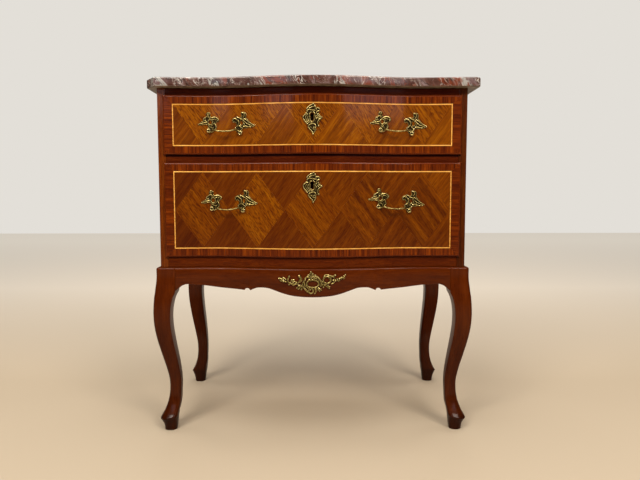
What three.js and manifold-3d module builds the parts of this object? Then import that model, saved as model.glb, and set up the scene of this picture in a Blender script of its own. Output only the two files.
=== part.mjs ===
// A two-drawer commode chest on a cabriole stand, with a loose marble top and cast brass mounts.
// Lengths are millimetres, +Z is up and the front faces -Y. The origin is on the floor, under the
// middle of the chest. Inside the chest group, y = 0 is the flat end of the carcass front.

import * as THREE from "three";
import { mergeVertices } from "three/addons/utils/BufferGeometryUtils.js";
import Module from "manifold-3d";

const wasm = await Module();
wasm.setup();

// Overall sizes
const carcassWidth = 680;
const carcassDepth = 380;
const standHeight = 376;
const standProjection = 9.5;
const marbleThickness = 20;
const marbleFrontOverhang = 23;
const marbleSideOverhang = 25;
const marbleRearOverhang = 8;
const marbleCornerCut = 17;
const marbleLeftCantWidth = 24;
const marbleLeftCantDepth = 36;
const marbleEdgeRound = 3;

// The bowed front: a convex middle between two shallow hollows
const bulgeDepth = 26;
const bulgeHalfWidth = 218;
const hollowDepth = 4;
const hollowCentre = 228;
const hollowHalfWidth = 112;
const facetsEachHalf = 10;

// Heights of the carcass front, from the stand up
const bottomRailHeight = 28;
const lowerOpeningHeight = 200;
const dividerRailHeight = 26;
const upperOpeningHeight = 120;
const topRailHeight = 20;

// Carcass boards
const sideThickness = 17;
const postDepth = 28;
const railDepth = 22;
const bottomThickness = 10;
const topThickness = 12;
const backThickness = 6;
const runnerWidth = 20;
const runnerThickness = 18;

// Stand
const legBlockWidth = 42.5;
const legOuterCornerRound = 6;
const legInnerCornerRound = 3;
const standTopRound = 4;
const apronThickness = 22;
const apronMidHeight = 62.5;

// Drawers
const lipThickness = 7.5;
const lipOverlap = 4;
const lipRound = 3;
const lipGap = 0.5;
const frontCoreThickness = 20;
const drawerDepth = 352;
const drawerSideThickness = 10;
const drawerSideTopDrop = 8;
const drawerBackDrop = 10;
const drawerBottomThickness = 5;
const drawerBottomHeight = 10;
const bottomGrooveDepth = 4;
const veneerThickness = 0.9;
const crossbandPostWidth = 17.4;
const crossbandRailWidth = 15.2;
const stringingWidth = 2.2;

// Locks
const keyholeDrop = 46;
const keyholeTopRadius = 3.6;
const keyholeFootRadius = 3.1;
const keyholeWaist = 5;
const keyholeTopRise = 4.6;
const keyholeFootFall = 4.8;
const keyChamberDepth = 5;
const lockCaseWidth = 46;
const lockCaseHeight = 62;
const lockCaseThickness = 8;
const boltWidth = 18;
const boltThickness = 4;
const boltLength = 24;
const boltThrow = 8;
const mortiseMargin = 1.5;

// Cast mounts. The locks and the apron mount sit a little to the left of the middle.
const centreOffset = -0.8;
const castThickness = 3;
const escutcheonHeight = 70;
const apronMountWidth = 152;
const handlePitch = 68;
const rightPlateDrop = 4;
const ballRadius = 4.6;
const ballStandOff = 5;
const bailRadius = 1.5;
const bailReach = 17;
const bailSag = 4;
const bailLeftInset = 8;
const bailLeftRise = 1.5;
const bailRightInset = 7.5;
const bailRightRise = 6.5;

// Where each handle's middle lies: out from the drawer's middle, as a share of the opening's half
// width, and up from the opening's floor, as a share of its height
const handlePlaceShares = {
  upper: { leftOut: 0.5954, rightOut: 0.5659, leftRise: 0.3892, rightRise: 0.3875 },
  lower: { leftOut: 0.582, rightOut: 0.5551, leftRise: 0.5155, rightRise: 0.5245 },
};

// How far each handle leans clockwise, as it was fitted
const handleLeanDegrees = {
  upper: { left: 1, right: 2.2 },
  lower: { left: 0, right: 4.5 },
};

// Clearances
const glueGap = 0.3;
const mountGap = 0.5;
const drawerSideClearance = 1.5;
const drawerTopClearance = 1.5;
const runnerClearance = 0.5;
const boltClearance = 0.4;
const lockPocketClearance = 0.4;
const cutOverrun = 3;
const weldDistance = 1e-4;

// Worked out from the sizes above
const halfWidth = carcassWidth / 2;
const openingHalfWidth = halfWidth - sideThickness;
const standHalfWidth = halfWidth + standProjection;
const carcassFloor = standHeight + glueGap;
const lowerOpeningFloor = standHeight + bottomRailHeight;
const lowerOpeningTop = lowerOpeningFloor + lowerOpeningHeight;
const upperOpeningFloor = lowerOpeningTop + dividerRailHeight;
const upperOpeningTop = upperOpeningFloor + upperOpeningHeight;
const carcassTop = upperOpeningTop + topRailHeight;
const overallDepth = marbleFrontOverhang + bulgeDepth + carcassDepth + marbleRearOverhang;
const frontPlaneY = marbleFrontOverhang + bulgeDepth - overallDepth / 2;
const facetWidth = halfWidth / facetsEachHalf;

// Outlines, as shares of the sizes that they follow

// A facet joint nearer than this share of a facet to another station is left out.
const stationMergeShare = 0.05;

// A rounded edge has one point between its ends, at this share of its radius.
const kneeShare = 0.3;

// A leg from the top down: height, outer face and inner face. Heights are shares of the stand's
// height and the faces are shares of the leg block's width, counted in from its outer face.
const legOutlineShares = [
  [0.94, 0, 1],
  [0.905, -0.026, 1],
  [0.88, -0.059, 1],
  [0.85, -0.092, 0.99],
  [0.82, -0.129, 0.873],
  [0.77, -0.162, 0.769],
  [0.71, -0.174, 0.722],
  [0.64, -0.137, 0.741],
  [0.56, -0.026, 0.821],
  [0.47, 0.147, 0.934],
  [0.38, 0.332, 1.038],
  [0.3, 0.455, 1.089],
  [0.225, 0.448, 1.071],
  [0.165, 0.343, 1.042],
  [0.115, 0.16, 0.972],
  [0.088, 0.045, 0.934],
  [0.055, 0.125, 0.892],
  [0.025, 0.167, 0.864],
  [0, 0.19, 0.84],
];

// The rounded top edge of the stand: down from the top and in from the face, as shares of its
// radius.
const topRoundShares = [
  [1, 0],
  [0.3, 0.3],
  [0, 1],
];

// Half of the front apron's lower edge: distance from the middle as a share of the half length,
// and height as a share of the height at the middle.
const frontApronShares = [
  [0, 1],
  [0.07, 0.99],
  [0.143, 0.955],
  [0.21, 0.88],
  [0.271, 0.78],
  [0.327, 0.697],
  [0.394, 0.69],
  [0.43, 0.745],
  [0.454, 0.8],
  [0.472, 0.72],
  [0.495, 0.79],
  [0.66, 0.722],
  [0.79, 0.641],
  [0.85, 0.62],
  [0.89, 0.597],
  [0.93, 0.61],
  [0.965, 0.69],
  [1, 0.84],
];

// The same for the side aprons and the rear rail, which are plain arches.
const plainApronShares = [
  [0, 0.64],
  [0.4, 0.62],
  [0.75, 0.57],
  [0.87, 0.58],
  [0.95, 0.66],
  [1, 0.816],
];

// The cast outlines go once round, anticlockwise. A pair is sideways and up.
// The escutcheon is in shares of its own height, from the keyhole's middle.
const escutcheonShares = [
  [0.036, 0.419], [-0.027, 0.376], [-0.105, 0.32], [-0.168, 0.273], [-0.175, 0.203],
  [-0.17, 0.14], [-0.238, 0.079], [-0.288, 0.03], [-0.288, -0.017], [-0.26, -0.08],
  [-0.223, -0.133], [-0.168, -0.196], [-0.125, -0.262], [-0.137, -0.313], [-0.106, -0.367],
  [-0.043, -0.421], [0.02, -0.477], [-0.004, -0.52], [0.03, -0.545], [0.064, -0.5],
  [0.1, -0.415], [0.13, -0.32], [0.16, -0.285], [0.2, -0.295], [0.22, -0.255], [0.19, -0.2],
  [0.215, -0.155], [0.24, -0.115], [0.27, -0.075], [0.335, -0.025], [0.3, 0.01],
  [0.24, 0.06], [0.208, 0.11], [0.21, 0.15], [0.25, 0.2], [0.24, 0.26], [0.2, 0.29],
  [0.145, 0.285], [0.11, 0.31], [0.08, 0.368],
];

// Each handle plate is in shares of the pitch between the two balls, from its own ball.
const leftPlateShares = [
  [-0.37, 0.222], [-0.35, 0.175], [-0.25, 0.168], [-0.14, 0.19], [-0.06, 0.175], [-0.03, 0.11],
  [-0.062, 0.03], [-0.04, -0.055], [0.03, -0.07], [0.09, -0.045], [0.15, 0.01], [0.23, 0.055],
  [0.25, 0.12], [0.215, 0.19], [0.23, 0.27], [0.305, 0.3], [0.325, 0.36], [0.29, 0.42],
  [0.21, 0.455], [0.12, 0.445], [0.07, 0.43], [0.03, 0.475], [0.045, 0.55], [0, 0.595],
  [-0.08, 0.585], [-0.11, 0.53], [-0.09, 0.47], [-0.15, 0.42], [-0.19, 0.365], [-0.22, 0.3],
  [-0.29, 0.25],
];
const leftPlateHoleShares = { right: 0.035, up: 0.275, halfWidth: 0.05, halfHeight: 0.062 };
const rightPlateShares = [
  [-0.165, 0.135], [-0.15, 0.07], [-0.085, 0.02], [-0.06, -0.045], [0, -0.075], [0.06, -0.045],
  [0.09, 0.05], [0.085, 0.13], [0.13, 0.16], [0.22, 0.145], [0.3, 0.185], [0.4, 0.18],
  [0.505, 0.226], [0.4, 0.3], [0.325, 0.35], [0.27, 0.415], [0.2, 0.485], [0.215, 0.57],
  [0.195, 0.63], [0.11, 0.665], [0.025, 0.655], [0.035, 0.58], [0.05, 0.515], [-0.02, 0.49],
  [-0.085, 0.515], [-0.19, 0.48], [-0.255, 0.43], [-0.26, 0.37], [-0.21, 0.325],
  [-0.16, 0.345], [-0.12, 0.3], [-0.115, 0.235],
];
const rightPlateHoleShares = { right: 0.05, up: 0.32, halfWidth: 0.05, halfHeight: 0.085 };

// The bail's path: along between its feet, out to its reach and down to its sag, as shares.
const bailPathShares = [
  [0, 0, 0],
  [0, 0.3, 0],
  [0.09, 0.72, 0.3],
  [0.25, 0.93, 0.75],
  [0.5, 1, 1],
  [0.75, 0.93, 0.75],
  [0.91, 0.72, 0.3],
  [1, 0.3, 0],
  [1, 0, 0],
];

// The apron mount is in shares of its own width, from the middle of its oval hole.
const apronMountShares = [
  [-0.5, 0.07], [-0.455, 0.03], [-0.43, -0.0], [-0.37, -0.012], [-0.345, 0.0], [-0.305, -0.025],
  [-0.25, -0.022], [-0.235, -0.06], [-0.19, -0.082], [-0.145, -0.09], [-0.11, -0.1],
  [-0.085, -0.15], [-0.03, -0.157], [0.0, -0.148], [0.025, -0.163], [0.05, -0.105],
  [0.105, -0.118], [0.125, -0.05], [0.18, -0.065], [0.26, -0.065], [0.27, -0.02],
  [0.31, 0.012], [0.345, 0.035], [0.41, 0.045], [0.47, 0.09], [0.49, 0.137], [0.455, 0.13],
  [0.43, 0.095], [0.38, 0.07], [0.335, 0.085], [0.35, 0.13], [0.31, 0.13], [0.285, 0.125],
  [0.215, 0.137], [0.155, 0.12], [0.12, 0.085], [0.09, 0.115], [0.045, 0.13], [0.01, 0.125],
  [0.005, 0.18], [-0.022, 0.2], [-0.05, 0.17], [-0.04, 0.11], [-0.085, 0.105],
  [-0.13, 0.07], [-0.145, 0.115], [-0.185, 0.128], [-0.2, 0.095], [-0.205, 0.065],
  [-0.25, 0.035], [-0.29, 0.05], [-0.325, 0.045], [-0.34, 0.1], [-0.37, 0.09], [-0.4, 0.085],
  [-0.44, 0.09],
];
const apronMountHoleShares = [
  { right: 0.005, up: 0.0, halfWidth: 0.08, halfHeight: 0.043 },
  { right: 0.21, up: 0.06, halfWidth: 0.026, halfHeight: 0.038 },
  { right: -0.022, up: -0.1, halfWidth: 0.022, halfHeight: 0.028 },
];

// The oval hole's middle lies this share of the mount's width below the apron's middle.
const apronMountDropShare = 0.006;

// Finishes: colour, roughness and metalness
const finishes = {
  mahogany: { color: 0x4f1a08, roughness: 0.32, metalness: 0 },
  rails: { color: 0x652a0c, roughness: 0.35, metalness: 0 },
  parquetry: { color: 0x8f4a14, roughness: 0.35, metalness: 0 },
  crossband: { color: 0x6e2f0f, roughness: 0.35, metalness: 0 },
  boxwood: { color: 0xe0a850, roughness: 0.4, metalness: 0 },
  inside: { color: 0xb48a58, roughness: 0.7, metalness: 0 },
  marble: { color: 0x7a4f45, roughness: 0.2, metalness: 0 },
  brass: { color: 0x8f7f45, roughness: 0.4, metalness: 1 },
  steel: { color: 0x6c6a66, roughness: 0.45, metalness: 1 },
};

// Adds one named piece, with a material of its own, to a group.
function addPiece(parent, name, geometry, finish) {
  const mesh = new THREE.Mesh(geometry, new THREE.MeshStandardMaterial(finish));
  mesh.name = name;
  parent.add(mesh);
  return mesh;
}

// A half wave that is 1 at the middle and runs out to 0 at t = 1 on either side.
function swell(t) {
  return Math.abs(t) < 1 ? (1 + Math.cos(Math.PI * t)) / 2 : 0;
}

// How far the front stands forward of its flat ends, as a smooth curve.
function smoothBow(x) {
  const out = Math.abs(x);
  const bulge = bulgeDepth * swell(out / bulgeHalfWidth);
  const hollow = hollowDepth * swell((out - hollowCentre) / hollowHalfWidth);
  return bulge - hollow;
}

// The same in flat facets, which every bowed piece shares.
function bow(x) {
  const left = Math.floor(x / facetWidth);
  const along = x / facetWidth - left;
  return (1 - along) * smoothBow(left * facetWidth) + along * smoothBow((left + 1) * facetWidth);
}

// Sideways places between two ends: the ends, the facet joints between them and any extra ones.
function stations(from, to, extra = []) {
  const inner = [];
  const closest = facetWidth * stationMergeShare;
  for (let i = Math.ceil(from / facetWidth); i * facetWidth < to; i += 1) {
    inner.push(i * facetWidth);
  }
  const fixed = [from, ...extra, to];
  const clear = inner.filter((x) => fixed.every((f) => Math.abs(x - f) > closest));
  return [...fixed, ...clear].sort((a, b) => a - b);
}

// A closed slab between a front and a back grid of points. Column i goes to the right and row j up.
function slab(columns, rows, frontPoint, backPoint) {
  const positions = [];
  const index = [];
  const across = columns.length;
  const up = rows.length;
  for (const pointAt of [frontPoint, backPoint]) {
    for (let i = 0; i < across; i += 1) {
      for (let j = 0; j < up; j += 1) {
        positions.push(...pointAt(columns[i], rows[j]));
      }
    }
  }
  const front = (i, j) => i * up + j;
  const back = (i, j) => across * up + i * up + j;
  const quad = (a, b, c, d) => index.push(a, b, c, a, c, d);
  for (let i = 0; i + 1 < across; i += 1) {
    for (let j = 0; j + 1 < up; j += 1) {
      quad(front(i, j), front(i + 1, j), front(i + 1, j + 1), front(i, j + 1));
      quad(back(i, j), back(i, j + 1), back(i + 1, j + 1), back(i + 1, j));
    }
    const top = up - 1;
    quad(front(i, 0), back(i, 0), back(i + 1, 0), front(i + 1, 0));
    quad(front(i, top), front(i + 1, top), back(i + 1, top), back(i, top));
  }
  for (let j = 0; j + 1 < up; j += 1) {
    const end = across - 1;
    quad(front(0, j), front(0, j + 1), back(0, j + 1), back(0, j));
    quad(front(end, j), back(end, j), back(end, j + 1), front(end, j + 1));
  }
  const geometry = new THREE.BufferGeometry();
  geometry.setAttribute("position", new THREE.Float32BufferAttribute(positions, 3));
  geometry.setIndex(index);
  geometry.computeVertexNormals();
  return geometry;
}

// A slab whose face follows the bow, from "ahead" in front of the carcass face to its back.
// The face's edges are rounded over by "round". A straight back is flat at y = straightBack.
function bowedSlab({ from, to, bottom, top, ahead, behind = 0, straightBack = null, round = 0 }) {
  const knee = round * kneeShare;
  const roundColumns = round ? [from + knee, from + round, to - round, to - knee] : [];
  const roundRows = round ? [bottom + knee, bottom + round, top - round, top - knee] : [];
  const edgeDrop = (x, z) => {
    const inset = Math.min(x - from, to - x, z - bottom, top - z, round);
    return round - Math.sqrt(Math.max(0, round ** 2 - (round - inset) ** 2));
  };
  return slab(
    stations(from, to, roundColumns),
    [bottom, ...roundRows, top],
    (x, z) => [x, edgeDrop(x, z) - bow(x) - ahead, z],
    (x, z) => [x, straightBack === null ? behind - bow(x) : straightBack, z],
  );
}

function block(left, right, front, back, bottom, top) {
  const box = new THREE.BoxGeometry(right - left, back - front, top - bottom);
  return box.translate((left + right) / 2, (front + back) / 2, (bottom + top) / 2);
}

function toSolid(geometry) {
  const bare = new THREE.BufferGeometry();
  const flat = geometry.index ? geometry.toNonIndexed() : geometry;
  bare.setAttribute("position", flat.getAttribute("position"));
  const merged = mergeVertices(bare, weldDistance);
  const vertProperties = merged.getAttribute("position").array;
  const triVerts = new Uint32Array(merged.index.array);
  return new wasm.Manifold(new wasm.Mesh({ numProp: 3, vertProperties, triVerts }));
}

function toGeometry(solid) {
  const mesh = solid.getMesh();
  const geometry = new THREE.BufferGeometry();
  const positions = new Float32Array(mesh.vertProperties);
  geometry.setAttribute("position", new THREE.BufferAttribute(positions, 3));
  geometry.setIndex(new THREE.BufferAttribute(new Uint32Array(mesh.triVerts), 1));
  geometry.computeVertexNormals();
  return geometry;
}

function cut(geometry, ...tools) {
  let solid = toSolid(geometry);
  for (const tool of tools) {
    solid = solid.subtract(toSolid(tool));
  }
  return toGeometry(solid);
}

function join(...geometries) {
  return toGeometry(geometries.map(toSolid).reduce((all, next) => all.add(next)));
}

// Lays a piece that was drawn flat against the bowed front, with its middle at x. Its faces are
// first split more finely than the facets of the front, so that they follow it.
function bendToFront(geometry, x, ahead) {
  const fine = toSolid(geometry).refineToLength(facetWidth / 2);
  const bent = toGeometry(fine).translate(x, -ahead, 0);
  const position = bent.getAttribute("position");
  for (let i = 0; i < position.count; i += 1) {
    position.setY(i, position.getY(i) - bow(position.getX(i)));
  }
  return bent;
}

// A flat casting of an outline in shares of a size, standing upright with its back at y = 0.
function casting(outlineShares, holes, size) {
  const shape = new THREE.Shape(
    outlineShares.map(([right, up]) => new THREE.Vector2(right * size, up * size)),
  );
  for (const hole of holes) {
    const ellipse = new THREE.Path();
    const centre = [hole.right * size, hole.up * size];
    const radii = [hole.halfWidth * size, hole.halfHeight * size];
    ellipse.absellipse(...centre, ...radii, 0, 2 * Math.PI, true);
    shape.holes.push(ellipse);
  }
  return extrudeUpright(shape, castThickness);
}

function extrudeUpright(shape, depth) {
  const settings = { depth, bevelEnabled: false, curveSegments: 5 };
  return new THREE.ExtrudeGeometry(shape, settings).rotateX(Math.PI / 2);
}

// The keyhole's outline: a round top and a smaller round foot, joined by a waist.
function keyholeCutter(depth) {
  const topHalf = Math.asin(keyholeWaist / 2 / keyholeTopRadius);
  const footHalf = Math.asin(keyholeWaist / 2 / keyholeFootRadius);
  const shape = new THREE.Shape();
  const down = -Math.PI / 2;
  const quarter = Math.PI / 2;
  shape.absarc(0, keyholeTopRise, keyholeTopRadius, down + topHalf, down - topHalf, false);
  shape.absarc(0, -keyholeFootFall, keyholeFootRadius, quarter + footHalf, quarter - footHalf, false);
  return extrudeUpright(shape, depth);
}

// One leg, with its block's outer corner at the origin and the leg running to +X and +Y.
function legGeometry() {
  const rings = legOutlineShares.map(([height, outer, inner]) => ({
    height: height * standHeight,
    outer: outer * legBlockWidth,
    inner: inner * legBlockWidth,
  }));
  for (const [downShare, insetShare] of topRoundShares) {
    const height = standHeight - downShare * standTopRound;
    rings.push({ height, outer: insetShare * standTopRound, inner: legBlockWidth });
  }
  rings.sort((a, b) => a.height - b.height);
  return loft(rings.map((ring) => squareRing(ring.outer, ring.inner, ring.height)));
}

// A square ring of points with rounded corners, anticlockwise from above.
function squareRing(outer, inner, height) {
  const corners = [
    { x: outer, y: outer, round: legOuterCornerRound, turn: Math.PI },
    { x: inner, y: outer, round: legInnerCornerRound, turn: 1.5 * Math.PI },
    { x: inner, y: inner, round: legInnerCornerRound, turn: 0 },
    { x: outer, y: inner, round: legInnerCornerRound, turn: 0.5 * Math.PI },
  ];
  const middle = (outer + inner) / 2;
  const ring = [];
  const arcSteps = 2;
  for (const { x, y, round, turn } of corners) {
    const centreX = x + Math.sign(middle - x) * round;
    const centreY = y + Math.sign(middle - y) * round;
    for (let step = 0; step <= arcSteps; step += 1) {
      const angle = turn + (step / arcSteps) * 0.5 * Math.PI;
      ring.push([centreX + round * Math.cos(angle), centreY + round * Math.sin(angle), height]);
    }
  }
  return ring;
}

// A closed body through rings of as many points each, from the bottom up.
function loft(rings) {
  const around = rings[0].length;
  const index = [];
  for (let k = 0; k + 1 < rings.length; k += 1) {
    for (let i = 0; i < around; i += 1) {
      const next = (i + 1) % around;
      const lower = k * around;
      const upper = lower + around;
      index.push(lower + i, lower + next, upper + next, lower + i, upper + next, upper + i);
    }
  }
  const last = (rings.length - 1) * around;
  for (let i = 1; i + 1 < around; i += 1) {
    index.push(0, i + 1, i, last, last + i, last + i + 1);
  }
  const geometry = new THREE.BufferGeometry();
  geometry.setAttribute("position", new THREE.Float32BufferAttribute(rings.flat(2), 3));
  geometry.setIndex(index);
  geometry.computeVertexNormals();
  return geometry;
}

// An apron with a shaped lower edge and a rounded top edge. Its top is at z = 0, and its face
// stands at y = 0 or follows the bow.
function apronGeometry(halfLength, outlineShares, followsBow) {
  const mirrored = outlineShares.filter(([out]) => out > 0).map(([out, drop]) => [-out, drop]);
  const outline = [...mirrored.reverse(), ...outlineShares];
  const edges = outline.map(([out]) => out * halfLength);
  const columns = followsBow ? stations(-halfLength, halfLength, edges.slice(1, -1)) : edges;
  const dropAt = (x) => {
    const next = Math.max(1, edges.findIndex((edge) => edge >= x));
    const along = (x - edges[next - 1]) / (edges[next] - edges[next - 1]);
    return (outline[next - 1][1] * (1 - along) + outline[next][1] * along) * apronMidHeight;
  };
  const faceAt = (x) => (followsBow ? -bow(x) : 0);
  const lowerEdge = { drop: null, inset: 0 };
  const topEdge = topRoundShares.map(([downShare, insetShare]) => ({
    drop: downShare * standTopRound,
    inset: insetShare * standTopRound,
  }));
  const rows = [lowerEdge, ...topEdge];
  const heightOf = (x, row) => -(row === lowerEdge ? dropAt(x) : row.drop);
  return slab(
    columns,
    rows,
    (x, row) => [x, faceAt(x) + row.inset, heightOf(x, row)],
    (x, row) => [x, faceAt(x) + apronThickness, heightOf(x, row)],
  );
}

function makeStand() {
  const stand = new THREE.Group();
  const front = -standProjection;
  const rear = carcassDepth;
  for (const [sideName, side] of [["left", -1], ["right", 1]]) {
    for (const [endName, y, turn] of [["front", front, 1], ["rear", rear, -1]]) {
      const name = `leg_${endName}_${sideName}`;
      const leg = addPiece(stand, name, legGeometry(), finishes.mahogany);
      leg.position.set(side * standHalfWidth, y, 0);
      leg.scale.set(-side, turn, 1);
    }
  }
  const acrossHalf = standHalfWidth - legBlockWidth - glueGap;
  const alongHalf = (rear - front) / 2 - legBlockWidth - glueGap;
  const frontGeometry = apronGeometry(acrossHalf, frontApronShares, true);
  const frontApron = addPiece(stand, "apron_front", frontGeometry, finishes.mahogany);
  frontApron.position.set(0, front, standHeight);
  const rearGeometry = apronGeometry(acrossHalf, plainApronShares, false);
  const rearApron = addPiece(stand, "apron_rear", rearGeometry, finishes.mahogany);
  rearApron.position.set(0, rear, standHeight);
  rearApron.rotation.z = Math.PI;
  for (const [sideName, side] of [["left", -1], ["right", 1]]) {
    const geometry = apronGeometry(alongHalf, plainApronShares, false);
    const apron = addPiece(stand, `apron_side_${sideName}`, geometry, finishes.mahogany);
    apron.position.set(side * standHalfWidth, (front + rear) / 2, standHeight);
    apron.rotation.z = (side * Math.PI) / 2;
  }
  const mount = casting(apronMountShares, apronMountHoleShares, apronMountWidth);
  const mountHeight = standHeight - apronMidHeight / 2 - apronMountWidth * apronMountDropShare;
  const bent = bendToFront(mount, centreOffset, standProjection + mountGap);
  bent.translate(0, 0, mountHeight);
  addPiece(stand, "apron_mount", bent, finishes.brass);
  return stand;
}

function makeCarcass() {
  const carcass = new THREE.Group();
  const innerHalf = openingHalfWidth - glueGap;
  const insideBack = carcassDepth - backThickness - glueGap;
  const insideFront = railDepth + glueGap;
  for (const [sideName, side] of [["left", -1], ["right", 1]]) {
    const place = (name, inner, outer, front, back, bottom, top, finish) => {
      const ends = [side * inner, side * outer].sort((a, b) => a - b);
      addPiece(carcass, `${name}_${sideName}`, block(...ends, front, back, bottom, top), finish);
    };
    const { rails, inside } = finishes;
    const sideFront = postDepth + glueGap;
    place("front_post", openingHalfWidth, halfWidth, 0, postDepth, carcassFloor, carcassTop, rails);
    place("side_panel", openingHalfWidth, halfWidth, sideFront, carcassDepth, carcassFloor,
      carcassTop, rails);
    const runnerInner = innerHalf - runnerWidth;
    const lowerRunnerFloor = carcassFloor + bottomThickness + glueGap;
    place("lower_runner", runnerInner, innerHalf, insideFront, insideBack, lowerRunnerFloor,
      lowerOpeningFloor, inside);
    const upperRunnerFloor = upperOpeningFloor - runnerThickness;
    place("upper_runner", runnerInner, innerHalf, insideFront, insideBack, upperRunnerFloor,
      upperOpeningFloor, inside);
  }
  const rail = (bottom, top) =>
    bowedSlab({ from: -innerHalf, to: innerHalf, bottom, top, ahead: 0, straightBack: railDepth });
  const mortise = boltSpace(mortiseMargin, -cutOverrun, boltThrow + mortiseMargin);
  const topRail = cut(
    rail(upperOpeningTop, carcassTop),
    mortise.clone().translate(0, 0, upperOpeningTop),
  );
  const dividerRail = cut(
    rail(lowerOpeningTop, upperOpeningFloor),
    mortise.clone().translate(0, 0, lowerOpeningTop),
  );
  addPiece(carcass, "top_rail", topRail, finishes.rails);
  addPiece(carcass, "divider_rail", dividerRail, finishes.rails);
  addPiece(carcass, "bottom_rail", rail(carcassFloor, lowerOpeningFloor), finishes.rails);
  const panel = (name, front, back, bottom, top) => {
    const geometry = block(-innerHalf, innerHalf, front, back, bottom, top);
    addPiece(carcass, name, geometry, finishes.inside);
  };
  panel("carcass_bottom", insideFront, insideBack, carcassFloor, carcassFloor + bottomThickness);
  panel("carcass_top", insideFront, insideBack, carcassTop - topThickness, carcassTop);
  panel("back_panel", carcassDepth - backThickness, carcassDepth, carcassFloor, carcassTop);
  return carcass;
}

// The space round a lock bolt, with a margin on its four sides.
function boltSpace(margin, bottom, top) {
  const half = boltWidth / 2 + margin;
  const front = lockMiddleY() - boltThickness / 2 - margin;
  const back = lockMiddleY() + boltThickness / 2 + margin;
  return block(centreOffset - half, centreOffset + half, front, back, bottom, top);
}

// The lock case is let into the back of the drawer front at its middle.
function lockMiddleY() {
  return frontCoreThickness - bow(0) - lockCaseThickness / 2;
}

// The marble slab: bowed front edge, straight sides and back, a rounded front corner on the right
// and a straight cant in its place on the left.
function marbleGeometry() {
  const half = halfWidth + marbleSideOverhang;
  const cantEnd = marbleLeftCantWidth - half;
  const cornerStart = half - marbleCornerCut;
  const frontAt = (x) => -bow(x) - marbleFrontOverhang;
  const rear = carcassDepth + marbleRearOverhang;
  const shape = new THREE.Shape();
  shape.moveTo(-half, rear);
  shape.lineTo(-half, frontAt(half) + marbleLeftCantDepth);
  for (const x of stations(cantEnd, cornerStart)) {
    shape.lineTo(x, frontAt(x));
  }
  shape.quadraticCurveTo(half, frontAt(half), half, frontAt(half) + marbleCornerCut);
  shape.lineTo(half, rear);
  const solid = new THREE.ExtrudeGeometry(shape, {
    depth: marbleThickness - 2 * marbleEdgeRound,
    bevelThickness: marbleEdgeRound,
    bevelSize: marbleEdgeRound,
    bevelOffset: -marbleEdgeRound,
    bevelSegments: 2,
    curveSegments: 5,
  });
  return solid.translate(0, 0, marbleEdgeRound);
}

// A drawer is drawn from the opening's floor, with its lip closed against the carcass.
function makeDrawer(label, openingHeight) {
  const drawer = new THREE.Group();
  const keyholeHeight = openingHeight - keyholeDrop;
  const name = (piece) => `${label}_${piece}`;
  const keyholeDepth = frontCoreThickness + lipThickness + castThickness + mountGap;
  const keyhole = keyholeCutter(keyholeDepth + cutOverrun).translate(
    centreOffset,
    lockMiddleY() - lockCaseThickness / 2,
    keyholeHeight,
  );
  addPiece(drawer, name("front"), drawerFront(openingHeight, keyhole), finishes.crossband);
  addVeneers(drawer, name, openingHeight, keyhole);
  addDrawerBox(drawer, name, openingHeight);
  addLock(drawer, name, openingHeight, keyholeHeight);
  const plate = casting(escutcheonShares, [], escutcheonHeight);
  const escutcheon = bendToFront(plate, centreOffset, lipThickness + mountGap);
  escutcheon.translate(0, 0, keyholeHeight);
  addPiece(drawer, name("escutcheon"), cut(escutcheon, keyhole), finishes.brass);
  const places = handlePlaceShares[label];
  for (const [sideName, side] of [["left", -1], ["right", 1]]) {
    const x = side * places[`${sideName}Out`] * openingHalfWidth;
    const height = places[`${sideName}Rise`] * openingHeight;
    const lean = THREE.MathUtils.degToRad(handleLeanDegrees[label][sideName]);
    addHandle(drawer, name(sideName), x, height, lean);
  }
  return drawer;
}

function drawerFront(openingHeight, keyhole) {
  const lip = bowedSlab({
    from: -openingHalfWidth - lipOverlap,
    to: openingHalfWidth + lipOverlap,
    bottom: -lipOverlap,
    top: openingHeight + lipOverlap,
    ahead: lipThickness,
    behind: -lipGap,
    round: lipRound,
  });
  const coreTop = openingHeight - drawerTopClearance;
  const core = bowedSlab({
    from: drawerSideClearance - openingHalfWidth,
    to: openingHalfWidth - drawerSideClearance,
    bottom: runnerClearance,
    top: coreTop,
    ahead: lipThickness / 2,
    behind: frontCoreThickness,
  });
  const half = lockCaseWidth / 2 + lockPocketClearance;
  const pocket = block(
    centreOffset - half,
    centreOffset + half,
    lockMiddleY() - lockCaseThickness / 2 - lockPocketClearance,
    frontCoreThickness,
    coreTop - lockCaseHeight - lockPocketClearance,
    coreTop + cutOverrun,
  );
  const groundInset = inset(lipRound - glueGap);
  const ground = veneerSheet(openingHeight, groundInset, glueGap, cutOverrun);
  return cut(join(lip, core), pocket, keyhole, ground);
}

// How far a sheet of veneer is set in: its ends from the lip's ends, and its top and bottom edges
// from the lip's edges.
function inset(ends, edges = ends) {
  return { ends, edges };
}

function further({ ends, edges }, moreAtEnds, moreAtEdges = moreAtEnds) {
  return inset(ends + moreAtEnds, edges + moreAtEdges);
}

// A sheet of veneer, with more depth behind or ahead for cutting.
function veneerSheet(openingHeight, { ends, edges }, deeper = 0, prouder = 0) {
  return bowedSlab({
    from: ends - openingHalfWidth - lipOverlap,
    to: openingHalfWidth + lipOverlap - ends,
    bottom: edges - lipOverlap,
    top: openingHeight + lipOverlap - edges,
    ahead: lipThickness + prouder,
    behind: veneerThickness + deeper - lipThickness,
  });
}

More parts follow.
